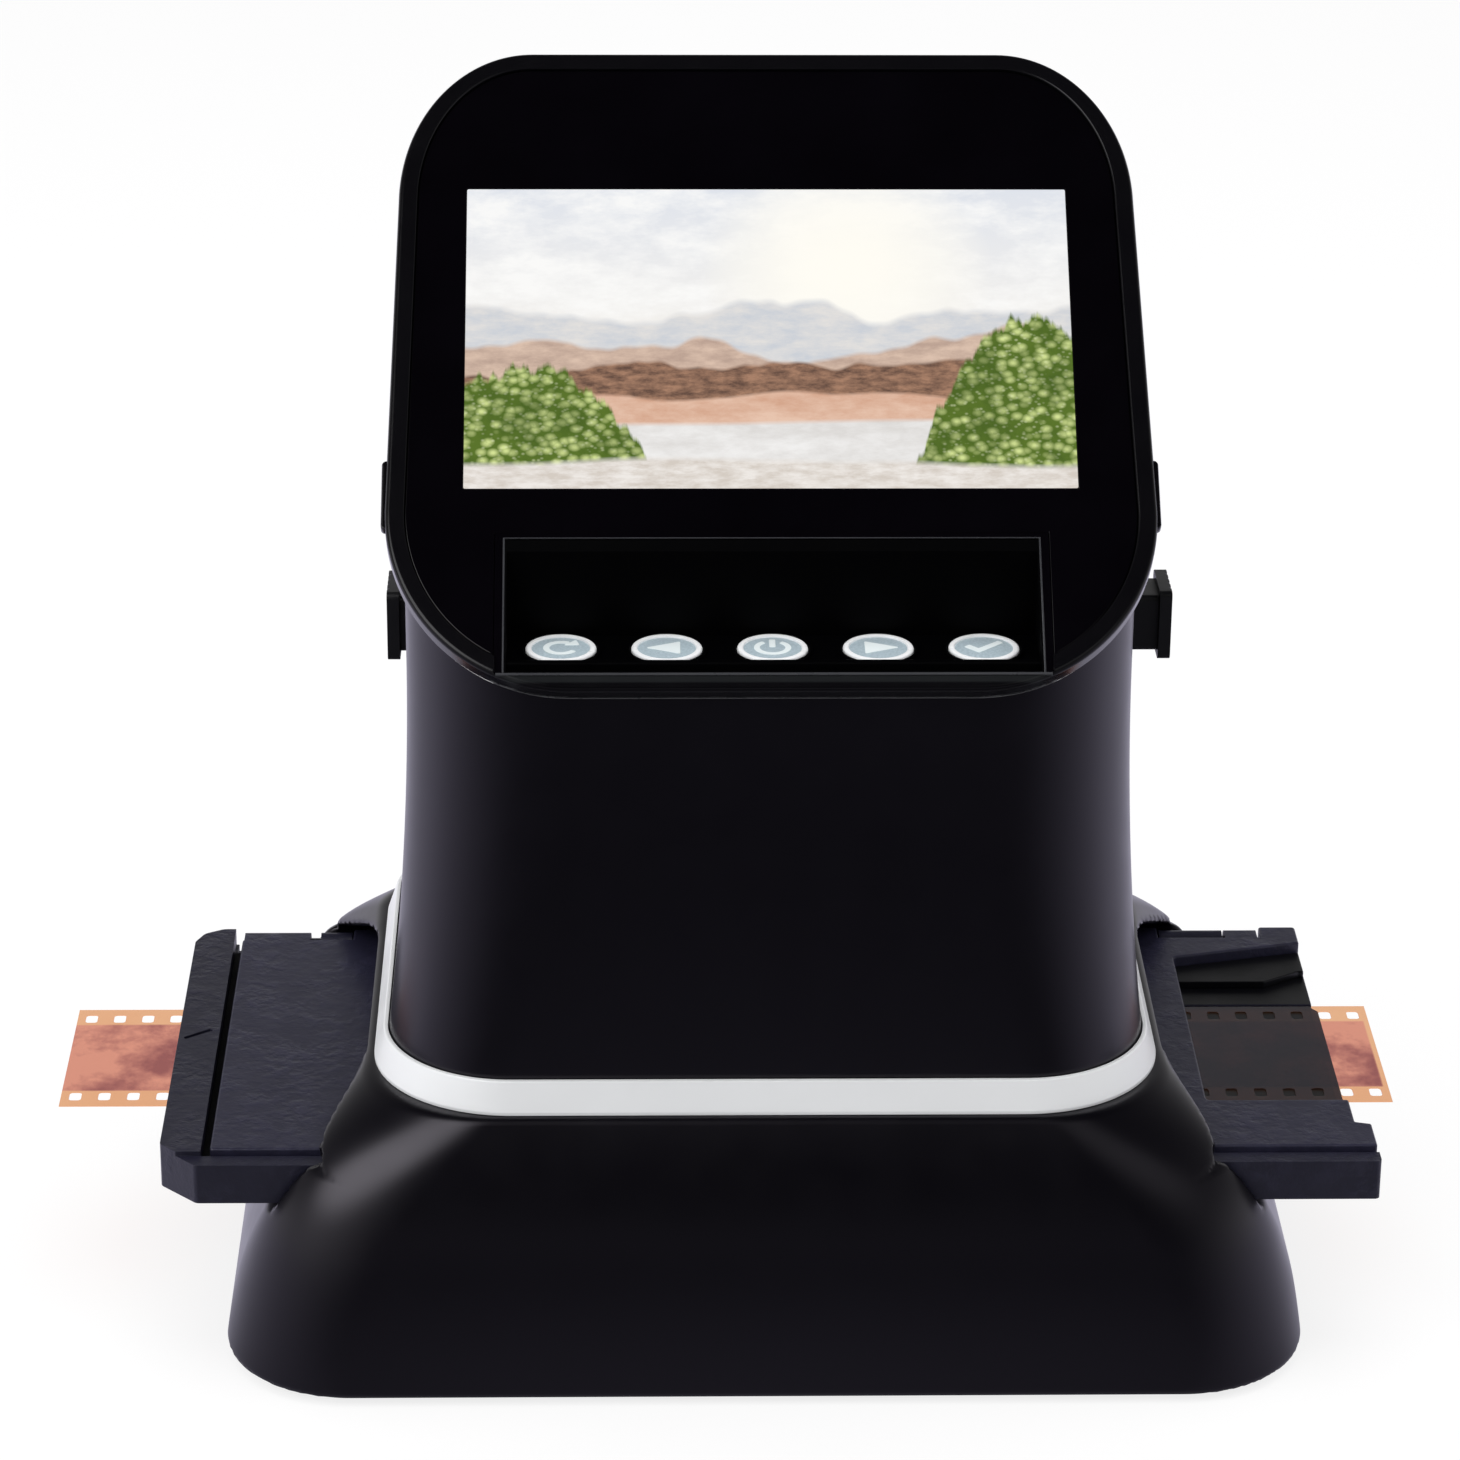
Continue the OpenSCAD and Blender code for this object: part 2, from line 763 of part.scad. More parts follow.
// One of the two shells: the column's wall and inner features on one side of the split
module column_shell(rear) {
    difference() {
        union() {
            difference() {
                loft([for (z = column_zs) at_z(column_outline(z), z)]);
                loft(concat([at_z(column_outline(skirt_top, wall), skirt_top - 1)],
                    [for (z = column_zs) at_z(column_outline(z, wall), z + (z > flare_z ? 1 : 0))]));
                shell_other_side(rear);
            }
            intersection() {
                loft([for (z = column_zs) at_z(column_outline(z, wall / 2), z)]);
                union() {
                    difference() {
                        column_inside();
                        shell_other_side(rear);
                    }
                    if (rear)
                        rear_posts();
                }
            }
        }
        above_head(stack_t);
        on_face()
            lcd_room(-glass_t - lcd_t - set_gap, 0);
        panel_room(set_gap);
        stem_slots();
        port_recess();
        column_screw_places()
            translate([0, 0, skirt_top - 1])
                cylinder(r = hole_r, h = 11);
        for (sx = [-1, 1]) {
            translate([sx * optic_screw.x, 0, 0])
                for (sy = [-1, 1])
                    translate([0, sy * optic_screw.y, optic_plate_z - ledge_t - 1])
                        cylinder(r = small_hole_r, h = ledge_t + 2);
            for (z = shell_screw_zs)
                translate([sx * shell_screw_x, shell_boss_front - 1, z])
                    rotate([-90, 0, 0]) {
                        cylinder(r = hole_r, h = far / 2);
                        translate([0, 0, shell_head_y - shell_boss_front + 1])
                            cylinder(r = head_hole_r, h = far / 2);
                    }
        }
        if (rear)
            four_posts()
                translate([0, 0, -1])
                    cylinder(r = small_hole_r, h = 10);
        on_face()
            bezel_screw_places()
                translate([0, 0, -stack_t - 5])
                    cylinder(r = small_hole_r, h = 10);
        socket_hole(-1, usb);
        socket_hole(1, video);
        block([-card.x / 2 - set_gap, 30, card_board_z + card_board_t - set_gap],
            [card.x / 2 + set_gap, far / 2, card_board_z + card_board_t + card.z + set_gap]);
        block([-card.x / 2 - 3.4, pcb_y, card_board_z],
            [card.x / 2 + 3.4, card_end - 3, card_board_z + card_board_t + set_gap]);
    }
}

// Hole in a side wall for a socket that lies on the main board's front
module socket_hole(side, size) {
    mirror([side < 0 ? 1 : 0, 0, 0])
        block([pcb_half - 4, pcb_y - size.y - set_gap, port_z - size.z / 2 - set_gap],
            [far / 2, pcb_y + set_gap, port_z + size.z / 2 + set_gap]);
}

// Everything that belongs to the other shell
module shell_other_side(rear) {
    if (rear)
        block([-far, -far, 0], [far, split_y, far]);
    else
        block([-far, split_y, 0], [far, far, far]);
}

module column_front_shell() {
    color("#0e0e13")
    column_shell(false);
}

module column_rear_shell() {
    color("#0e0e13")
    column_shell(true);
}

module column_screws() {
    color("#8d9093")
    column_screw_places()
        translate([0, 0, skirt_top - flange_t])
            mirror([0, 0, 1])
                housing_screw(flange_t + 9);
}

module rear_shell_screws() {
    color("#8d9093")
    for (sx = [-1, 1])
        for (z = shell_screw_zs)
            translate([sx * shell_screw_x, shell_head_y, z])
                rotate([-90, 0, 0])
                    housing_screw(20);
}

// ---------- head ----------

module head_trim() {
    color("#e8e9ea")
    difference() {
        on_face()
            difference() {
                face_plate(0.4, -stack_t, -bezel_t);
                face_plate(overhang + wall + 0.6, -stack_t - 1, -bezel_t + 1);
                lcd_room(-stack_t - 1, -bezel_t + 1);
                bezel_screw_places()
                    translate([0, 0, -stack_t - 1])
                        cylinder(r = small_r + 1.6 + set_gap, h = trim_t + 2);
            }
        panel_room(set_gap);
    }
}

module head_bezel() {
    color("#17171a")
    on_face()
        difference() {
            union() {
                face_plate(0, -bezel_t, rim_proud - 0.4);
                face_plate(0.4, rim_proud - 0.4 - eps, rim_proud);
                bezel_screw_places()
                    translate([0, 0, -stack_t])
                        cylinder(r = small_r + 1.6, h = trim_t + eps);
                side_lugs();
            }
            face_plate(rim_w, -glass_t, 5);
            lcd_room(-bezel_t - 1, -glass_t + eps);
            block([-recess_w / 2, -recess_to, -bezel_t - 1], [recess_w / 2, -recess_from, 5]);
            bezel_screw_places()
                translate([0, 0, -stack_t - 1])
                    cylinder(r = small_hole_r, h = 1 + trim_t + bezel_t - glass_t - 0.3);
        }
}

// Slim lugs on both edges of the bezel
module side_lugs() {
    for (side = [0, 1])
        mirror([side, 0, 0])
            block([face_low_w / 2 - 3, -33.6, -bezel_t], [face_low_w / 2 + 1.1, -21.7, -0.6]);
}

module bezel_screws() {
    color("#8d9093")
    on_face()
        bezel_screw_places()
            translate([0, 0, -stack_t - 2.5])
                mirror([0, 0, 1])
                    small_screw(2.5 + trim_t + bezel_t - glass_t - 0.6);
}

module display_glass() {
    color("#050509")
    on_face()
        difference() {
            face_plate(rim_w + set_gap, -glass_t, 0);
            block([-screen_w / 2, -screen_h / 2, -glass_t - 1], [screen_w / 2, screen_h / 2, 1]);
            block([-recess_w / 2 - set_gap, -face_down, -glass_t - 1],
                [recess_w / 2 + set_gap, set_gap - recess_from, 1]);
        }
}

module display_module() {
    gap = hole_gap;
    color("#c9dfe8")
    on_face() {
        block([-lcd_w / 2, -lcd_h / 2, -glass_t - lcd_t], [lcd_w / 2, lcd_h / 2, -glass_t]);
        block([gap - screen_w / 2, gap - screen_h / 2, -glass_t - eps],
            [screen_w / 2 - gap, screen_h / 2 - gap, -0.15]);
    }
}

// ---------- controls ----------

// Outer or inner wedge of the control recess, along X
module recess_wedge(half, low, back) {
    translate([-half, 0, 0])
        rotate([90, 0, 90])
            linear_extrude(2 * half)
                polygon([[face_y - face_down, low], [back, low], [back, face_z],
                    [face_y - face_down, face_z]]);
}

button_xs = [for (i = [-2:2]) i * button_pitch];

module control_panel() {
    half = recess_w / 2 - set_gap;
    color("#08080b")
    difference() {
        union() {
            intersection() {
                difference() {
                    recess_wedge(half, shelf_low, wall_y);
                    recess_wedge(half - shelf_t, shelf_z, wall_y - shelf_t);
                }
                on_face()
                    block([-half, set_gap - recess_to, -30], [half, -recess_from - set_gap, 0]);
            }
            difference() {
                on_face()
                    block([-half - 3, -46, -bezel_t - 1.5], [half + 3, -recess_from, -bezel_t]);
                recess_wedge(half - shelf_t, shelf_low - 9, wall_y - shelf_t);
            }
            for (x = [-1.5, -0.5, 0.5, 1.5])
                for (y = [post_front, post_back])
                    translate([x * button_pitch, y, button_board_z + board_t])
                        cylinder(r = post_r, h = shelf_low - button_board_z - board_t + eps);
        }
        for (x = button_xs)
            translate([x, button_y, shelf_low - 1])
                cylinder(r = button_r + set_gap, h = shelf_t + 2);
        for (x = [-1.5, 1.5])
            translate([x * button_pitch, post_back, button_board_z])
                cylinder(r = 0.6 + hole_gap, h = board_t + 3);
    }
}

// One button: domed cap, two ears under the shelf and a stem over its switch
module button(index) {
    translate([button_xs[index], button_y, 0]) {
        difference() {
            union() {
                translate([0, 0, ear_low])
                    cylinder(r = button_r, h = button_top - 0.4 - ear_low);
                translate([0, 0, button_top - 0.4])
                    cylinder(r1 = button_r, r2 = button_r - 0.7, h = 0.4);
                block([-button_r - ear_reach, -2, ear_low], [button_r + ear_reach, 2, ear_low + ear_h]);
            }
            translate([0, 0, button_top - 0.25])
                cylinder(r = button_r - 1.6, h = 1);
        }
        translate([0, 0, button_top - 0.25 - eps])
            children();
        translate([0, 0, ear_low - stem_drop])
            cylinder(r = stem_r, h = stem_drop + eps);
    }
}

symbol_h = 0.2;

// Turning arrow: change the mode
module mode_button() {
    color("#a9bcc6")
    button(0)
        linear_extrude(symbol_h) {
            difference() {
                circle(r = 2.3);
                circle(r = 1.6);
                polygon([[0, 0], [4, -0.6], [4, 2.6]]);
            }
            polygon([[1.1, 0], [2.9, 0], [2, 1.4]]);
        }
}

module left_button() {
    color("#a9bcc6")
    button(1)
        linear_extrude(symbol_h)
            polygon([[-2.4, 0], [1.6, -2.1], [1.6, 2.1]]);
}

// Broken ring with a bar: stand-by
module power_button() {
    color("#a9bcc6")
    button(2)
        linear_extrude(symbol_h) {
            difference() {
                circle(r = 2.3);
                circle(r = 1.6);
                translate([-1, 0])
                    square([2, 4]);
            }
            translate([-0.35, 0.2])
                square([0.7, 2.4]);
        }
}

module right_button() {
    color("#a9bcc6")
    button(3)
        linear_extrude(symbol_h)
            polygon([[2.4, 0], [-1.6, 2.1], [-1.6, -2.1]]);
}

// Tick: confirm
module confirm_button() {
    color("#a9bcc6")
    button(4)
        linear_extrude(symbol_h)
            polygon([[-2.4, 0.1], [-1.8, 0.7], [-0.7, -0.5], [1.9, 2.1], [2.5, 1.5], [-0.7, -1.8]]);
}

// The front corners are cut back, clear of the column's rounded corners
function button_board_outline() =
    let (half = 2.5 * button_pitch, front = post_front - post_r, back = post_back + post_r)
    [[-half, back], [-half, front + 3], [8 - half, front], [half - 8, front], [half, front + 3],
        [half, back]];

module button_board() {
    color("#1f6a3a")
    difference() {
        translate([0, 0, button_board_z])
            linear_extrude(board_t)
                polygon(button_board_outline());
        for (x = [-1.5, 1.5])
            translate([x * button_pitch, post_back, button_board_z - 1])
                cylinder(r = 0.6 + hole_gap, h = board_t + 2);
    }
}

module button_board_screws() {
    color("#8d9093")
    for (x = [-1.5, 1.5])
        translate([x * button_pitch, post_back, button_board_z])
            mirror([0, 0, 1])
                screw(0.6, board_t + 2.6, 1.1, 0.8);
}

module button_switches() {
    color("#3a3a3d")
    for (x = button_xs)
        translate([x, button_y, button_board_z + board_t]) {
            translate([-2.6, -2.6, 0])
                cube([5.2, 5.2, switch_h - 0.6]);
            cylinder(r = 1.4, h = switch_h);
        }
}

// ---------- boards ----------

module main_board() {
    color("#1f6a3a")
    difference() {
        block([-pcb_half, pcb_y, pcb_low], [pcb_half, pcb_y + board_t, pcb_high]);
        for (sx = [-1, 1])
            for (z = [pcb_low + pcb_post.y, pcb_high - pcb_post.y])
                translate([sx * pcb_post.x, pcb_y - 1, z])
                    rotate([-90, 0, 0])
                        cylinder(r = small_hole_r, h = board_t + 2);
    }
}

module main_board_screws() {
    color("#8d9093")
    for (sx = [-1, 1])
        for (z = [pcb_low + pcb_post.y, pcb_high - pcb_post.y])
            translate([sx * pcb_post.x, pcb_y, z])
                rotate([90, 0, 0])
                    small_screw(board_t + 8);
}

module board_chips() {
    color("#1b1b1d")
    for (chip = [[-14, 66, 14, 14], [20, 66, 10, 12], [-40, 70, 7, 7]])
        block([chip[0] - chip[2] / 2, pcb_y - 1.4, chip[1] - chip[3] / 2],
            [chip[0] + chip[2] / 2, pcb_y, chip[1] + chip[3] / 2]);
}

// Metal shell socket on the board's front, mouth towards the side wall
module socket(side, size, mouth_wall) {
    reach = port_face - 0.2;
    mirror([side < 0 ? 1 : 0, 0, 0])
        difference() {
            block([reach - size.x, pcb_y - size.y, port_z - size.z / 2],
                [reach, pcb_y, port_z + size.z / 2]);
            block([reach - size.x + 2, pcb_y - size.y + mouth_wall, port_z - size.z / 2 + mouth_wall],
                [reach + 1, pcb_y - mouth_wall, port_z + size.z / 2 - mouth_wall]);
            }
}

module usb_socket() {
    color("#b9bbbe")
    socket(-1, usb, 0.4);
}

module video_socket() {
    color("#b9bbbe")
    socket(1, video, 0.4);
}

module card_board() {
    color("#1f6a3a")
    block([-card.x / 2 - 3, pcb_y + board_t, card_board_z],
        [card.x / 2 + 3, card_end - 3.4, card_board_z + card_board_t]);
}

module card_socket() {
    z = card_board_z + card_board_t;
    color("#b9bbbe")
    difference() {
        block([-card.x / 2, card_end - card.y, z], [card.x / 2, card_end, z + card.z]);
        block([-card.x / 2 + 0.8, card_end - card.y + 2, z + 0.3],
            [card.x / 2 - 0.8, card_end + 1, z + card.z - 0.3]);
    }
}

// ---------- optics ----------

module optical_frame() {
    color("#242428")
    difference() {
        union() {
            block([-optic_half, -optic_y, optic_plate_z], [optic_half, optic_y, optic_top]);
            for (side = [0, 1])
                mirror([0, side, 0])
                    block([-optic_rail_half, rail_in, optic_top - eps],
                        [optic_rail_half, rail_in + optic_rail_t, optic_rail_top]);
        }
        translate([0, 0, optic_plate_z - 1])
            cylinder(r = barrel_r + hole_gap, h = optic_plate_t + 2);
        four(optic_screw.x, optic_screw.y)
            translate([0, 0, optic_plate_z - 1])
                cylinder(r = small_hole_r, h = optic_plate_t + 2);
    }
}

module optical_frame_screws() {
    color("#8d9093")
    four(optic_screw.x, optic_screw.y)
        translate([0, 0, optic_top])
            small_screw(optic_plate_t + ledge_t - 0.2);
}

module lens_barrel() {
    seat_r = barrel_bore - 0.8;
    color("#1a1a1c")
    difference() {
        union() {
            translate([0, 0, barrel_low])
                cylinder(r = barrel_r, h = optic_top - barrel_low);
            translate([0, 0, optic_plate_z - 2])
                cylinder(r = barrel_r + 2, h = 2);
        }
        translate([0, 0, barrel_low + 2])
            cylinder(r = barrel_bore, h = 30);
        translate([0, 0, barrel_low - 1])
            cylinder(r = seat_r, h = 30);
    }
}

module objective_lens() {
    color("#9fc4d6")
    translate([0, 0, barrel_low + 2])
        cylinder(r = glass_r, h = glass_h);
}

// Block with two lens seats, one slider travel apart
module lens_carriage() {
    color("#242428")
    difference() {
        block([-carriage_left, -carriage_y, carriage_low],
            [carriage_right, carriage_y, carriage_high]);
        for (x = [0, slider_travel])
            translate([x, 0, 0]) {
                translate([0, 0, carriage_low - 1])
                    cylinder(r = slide_lens_d / 2 - 0.5, h = far);
                translate([0, 0, carriage_low + 4])
                    cylinder(r = slide_lens_d / 2, h = far);
            }
    }
}

module slider_lenses() {
    color("#9fc4d6")
    for (x = [0, slider_travel])
        translate([x, 0, carriage_low + 4])
            cylinder(r = slide_lens_d / 2 - hole_gap, h = 2);
}

// Stem through the side wall with a ribbed finger plate at its end
module slider_knob(start, plate_in) {
    block([start, -stem_d / 2, slider_z - stem_h / 2], [plate_in + eps, stem_d / 2, slider_z + stem_h / 2]);
    block([plate_in, -finger_d / 2, slider_z - finger_h / 2],
        [plate_in + finger_t, finger_d / 2, slider_z + finger_h / 2]);
}

module slider_knob_left() {
    color("#0b0b0e")
    mirror([1, 0, 0])
        slider_knob(carriage_left, finger_left);
}

module slider_knob_right() {
    color("#0b0b0e")
    slider_knob(carriage_right, finger_right);
}

module sensor_shroud() {
    color("#0c0c0e")
    difference() {
        block([-shroud_half, -shroud_half, optic_rail_top], [shroud_half, shroud_half, sensor_board_z]);
        block([-6, -6, optic_rail_top - 1], [6, 6, sensor_board_z + 1]);
    }
}

module sensor_board() {
    color("#1f6a3a")
    block([-sensor_half, -sensor_half, sensor_board_z],
        [sensor_half, sensor_half, sensor_board_z + board_t]);
}

module image_sensor() {
    color("#26304a")
    block([-4.5, -4, sensor_board_z - 1.4], [4.5, 4, sensor_board_z]);
}

// ---------- ribbons ----------

ribbon_t = 0.3;
display_ribbon_w = 16;
sensor_ribbon_w = 4;
ribbon_y = sensor_half + 0.6;
ribbon_foot = pcb_high - 9;

// Height of the display module's back over a distance from the middle
function module_back(y) = face_z + (y - face_y) * tan(face_tilt) - (glass_t + lcd_t) / slope_y;

// Flat ribbon from the display's back down to the back of the main board
module display_ribbon() {
    y = pcb_y + board_t + 2.2;
    color("#c98a3a")
    translate([-display_ribbon_w / 2, 0, 0])
        rotate([90, 0, 90])
            linear_extrude(display_ribbon_w)
                polygon([[y, module_back(y) - 0.02], [y + ribbon_t, module_back(y + ribbon_t) - 0.02],
                    [y + ribbon_t, pcb_high + 4], [pcb_y + board_t + ribbon_t, pcb_high - 2],
                    [pcb_y + board_t + ribbon_t, ribbon_foot], [pcb_y + board_t, ribbon_foot],
                    [pcb_y + board_t, pcb_high - 2], [y, pcb_high + 4]]);
}

// Flat ribbon from the top of the sensor board, over its edge, to the main board
module sensor_ribbon() {
    top = sensor_board_z + board_t;
    color("#c98a3a")
    translate([display_ribbon_w / 2 + 1, 0, 0])
        rotate([90, 0, 90])
            linear_extrude(sensor_ribbon_w)
                polygon([[sensor_half - 4, top], [ribbon_y, top], [ribbon_y, pcb_high + 3],
                    [pcb_y + board_t, pcb_high - 2], [pcb_y + board_t, ribbon_foot],
                    [pcb_y + board_t + ribbon_t, ribbon_foot],
                    [pcb_y + board_t + ribbon_t, pcb_high - 2],
                    [ribbon_y + ribbon_t, pcb_high + 3], [ribbon_y + ribbon_t, top + ribbon_t],
                    [sensor_half - 4, top + ribbon_t]]);
}

// ---------- film holder ----------

// Outline of the holder seen from above
function holder_outline() = [
    [-holder_left, -holder_y + chamfer], [-holder_left + chamfer, -holder_y],
    [holder_right, -holder_y], [holder_right, -holder_y + 11.5],
    [holder_right - 2.7, -holder_y + 12.2], [holder_right - 2.7, 16],
    [holder_right - 3.6, 17.2], [holder_right - 3.6, holder_y],
    [-holder_left + 4.6, holder_y], [-holder_left + 1.4, holder_y - 1.8],
    [-holder_left, holder_y - 5]];

module holder_slab(low, high) {
    translate([0, 0, low])
        linear_extrude(high - low)
            polygon(holder_outline());
}

module hinge_bay() {
    for (bay = hinge_bays)
        block([bay[0], knuckle_back, seam_z - 1.2], [bay[1], holder_y + 1, holder_top + 1]);
}

// Hinge barrels over the given stretches, with an arm down to the frame or back to the lid
module knuckles(spans, to_frame) {
    for (span = spans)
        difference() {
            union() {
                translate([span[0], hinge_y, hinge_z])
                    rotate([0, 90, 0])
                        cylinder(r = hinge_r, h = span[1] - span[0]);
                if (to_frame)
                    block([span[0], hinge_y - hinge_r, seam_z - 1.3], [span[1], hinge_y + hinge_r, hinge_z]);
                else
                    block([span[0], knuckle_back - 1, hinge_z - 0.9], [span[1], hinge_y, hinge_z + hinge_r]);
            }
            translate([span[0] - 1, hinge_y, hinge_z])
                rotate([0, 90, 0])
                    cylinder(r = pin_r + hole_gap, h = span[1] - span[0] + 2);
        }
}

module scan_window() {
    block([-window_len / 2, -window_w / 2, 0], [window_len / 2, window_w / 2, far]);
}

module holder_frame() {
    color("#3b3a46")
    union() {
        difference() {
            holder_slab(holder_bottom, holder_top);
            // bed for the lid, open to the right and to the back
            block([-lid_left - groove, -lid_front - border_groove, seam_z], [far, far, far]);
            // film channel and the slot through the handle
            block([-far, -channel_half, seam_z - channel_depth], [far, channel_half, seam_z + set_gap]);
            // border ledge along the front
            block([-far, -far, border_top], [far, -lid_front - border_groove, far]);
            hinge_bay();
            scan_window();
            // index mark on the handle
            translate([-handle_in - 3.6, 2.2, holder_top - 0.5])
                rotate([0, 0, 36])
                    translate([-2.6, -0.5, 0])
                        cube([5.2, 1, 2]);
        }
        knuckles(frame_knuckles, true);
        // stepped rear edge of the film entry
        translate([0, 0, seam_z - eps])
            linear_extrude(1.3)
                polygon([[entry_x + set_gap, 24], [entry_x + 15, 24], [holder_right - 4.6, 28],
                    [holder_right - 3.6, 28], [holder_right - 3.6, 35.6], [entry_x + set_gap, 30.2]]);
    }
}

module holder_lid() {
    color("#413f4e")
    union() {
        difference() {
            translate([0, 0, lid_low])
                linear_extrude(holder_top - lid_low)
                    polygon([[-lid_left, -lid_front], [holder_right - 0.2, -lid_front],
                        [holder_right - 0.2, -31], [holder_right - 2.8, -30.3],
                        [holder_right - 2.8, -22.6], [entry_x, -22.6], [entry_x, 30.4],
                        [holder_right - 3.6, 35.9], [holder_right - 3.6, holder_y - 0.2],
                        [-lid_left, holder_y - 0.2]]);
            hinge_bay();
            scan_window();
        }
        knuckles(lid_knuckles, false);
    }
}

module holder_hinge_pins() {
    color("#b9bbbe")
    for (span = [[lid_knuckles[0][0], frame_knuckles[0][1]], [frame_knuckles[1][0], lid_knuckles[1][1]]])
        translate([span[0] + 0.3, hinge_y, hinge_z])
            rotate([0, 90, 0])
                cylinder(r = pin_r, h = span[1] - span[0] - 0.6);
}

perf_size = [1.98, 2.8];
perf_edge = 2.01;

module film_strip() {
    color("#c9764f")
    translate([-film_offset, 0, film_z])
        linear_extrude(film_t)
            difference() {
                square([film_len, film_w], center = true);
                for (i = [0:perf_count - 1])
                    for (side = [-1, 1])
                        translate([(i + 0.5) * perf_pitch - film_len / 2,
                            side * (film_w / 2 - perf_edge - perf_size.y / 2)])
                            square(perf_size, center = true);
            }
}

base_skirt();
base_plate();
rubber_feet();
base_screws();
holder_guide();
guide_screws();
backlight_board();
backlight_leds();
light_box();
backlight_diffuser();
silver_band();
column_front_shell();
column_rear_shell();
column_screws();
rear_shell_screws();
head_trim();
head_bezel();
bezel_screws();
display_glass();
display_module();
control_panel();
mode_button();
left_button();
power_button();
right_button();
confirm_button();
button_board();
button_switches();
button_board_screws();
main_board();
main_board_screws();
board_chips();
usb_socket();
video_socket();
card_board();
card_socket();
optical_frame();
optical_frame_screws();
lens_barrel();
objective_lens();
lens_carriage();
slider_lenses();
slider_knob_left();
slider_knob_right();
sensor_shroud();
sensor_board();
image_sensor();
display_ribbon();
sensor_ribbon();
holder_frame();
holder_lid();
holder_hinge_pins();
film_strip();
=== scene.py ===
"""Looks of the film negative scanner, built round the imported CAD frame.

Sizes below are millimetres and follow the part's source; mesh() turns them into metres.
"""
import math

import bmesh
import bpy
import numpy as np
from mathutils import Matrix, Vector

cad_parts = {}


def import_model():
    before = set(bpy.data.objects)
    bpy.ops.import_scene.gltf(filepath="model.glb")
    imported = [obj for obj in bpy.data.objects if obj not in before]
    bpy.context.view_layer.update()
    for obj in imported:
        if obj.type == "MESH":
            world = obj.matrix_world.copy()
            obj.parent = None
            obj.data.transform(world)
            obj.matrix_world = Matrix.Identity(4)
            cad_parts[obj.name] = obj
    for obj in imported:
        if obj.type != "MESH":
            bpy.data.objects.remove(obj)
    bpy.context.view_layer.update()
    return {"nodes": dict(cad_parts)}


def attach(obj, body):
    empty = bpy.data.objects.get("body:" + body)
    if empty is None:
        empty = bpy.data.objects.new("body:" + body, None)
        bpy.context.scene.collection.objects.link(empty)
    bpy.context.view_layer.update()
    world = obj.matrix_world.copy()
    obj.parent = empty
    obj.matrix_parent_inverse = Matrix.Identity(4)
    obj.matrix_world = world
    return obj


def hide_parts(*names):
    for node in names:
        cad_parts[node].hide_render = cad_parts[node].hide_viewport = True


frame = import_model()
NODES = frame["nodes"]

MM = 0.001
TILT = math.radians(41.2)
CT, ST = math.cos(TILT), math.sin(TILT)
# the display face's middle in mm, and its place up the face's own slope in metres
FACE_Y, FACE_Z = -2.2, 160.2
FACE_O = np.array([0.0, FACE_Y, FACE_Z])
FACE_UP = (FACE_Z * ST + FACE_Y * CT) * MM
# heights: the skirt's top, what stands on it, and the part of the column that tapers
SKIRT_TOP, SKIN_LOW = 45.8, 45.85
TAPER_LOW, TAPER_TOP = 51.2, 115
# 35 mm film: its ends and half width, and its perforations
FILM_LEFT, FILM_RIGHT, FILM_HALF = -115.15, 103.35, 17.5
HOLE_PITCH, HOLES = 4.75, 46
# edges sharper than this many degrees aren't smoothed
SHARP = 35


# ---------- shared geometry ----------

def outline(fw, bw, front, back, fr, br, inset=0.0, steps=26, fill=6):
    """Outline with elliptical corners, anticlockwise from the right side. front is negative y."""
    pts = []
    for q in range(4):
        r = br if q < 2 else fr
        rx, ry = r[0] - inset, r[1] - inset
        w = (bw if q < 2 else fw) - inset
        cx = (1 if q in (0, 3) else -1) * (w - rx)
        cy = back - inset - ry if q < 2 else front + inset + ry
        for i in range(steps + 1):
            a = math.radians(90 * (q + i / steps))
            pts.append((cx + rx * math.cos(a), cy + ry * math.sin(a)))
    out = []
    for i, p in enumerate(pts):
        out.append(p)
        nxt = pts[(i + 1) % len(pts)]
        if (i + 1) % (steps + 1) == 0:
            for j in range(1, fill + 1):
                t = j / (fill + 1)
                out.append((mix(p[0], nxt[0], t), mix(p[1], nxt[1], t)))
    return np.array(out)


def mix(a, b, t):
    return a + (b - a) * t


def column_sizes(z):
    """Sizes of the column's outline at a height: front width, back width, front, back, corner radii."""
    b = max(0.0, min(1.0, (TAPER_TOP - z) / (TAPER_TOP - TAPER_LOW))) ** 2
    return (mix(56.7, 60.6, b), mix(55.5, 60.6, b), mix(-43.9, -43.4, b), mix(37.64, 41, b),
            (mix(25.7, 20, b), mix(21.0, 20, b)), (mix(18.2, 12, b), mix(18.5, 12, b)))


def column_outline(z, inset=0.0, **kw):
    return outline(*column_sizes(z), inset=inset, **kw)


def face_outline(inset=0.0, **kw):
    return outline(59.5, 58.3, -61.7, 52.2, (28.5, 30.7), (21.0, 27.4), inset=inset, **kw)


def on_face(v):
    """Turns points from the display face's own plane into the part's frame."""
    v = np.asarray(v, float)
    return np.column_stack([v[:, 0], v[:, 1] * CT - v[:, 2] * ST, v[:, 1] * ST + v[:, 2] * CT]) + FACE_O


def at_z(pts, z):
    return np.column_stack([pts, np.full(len(pts), float(z))])


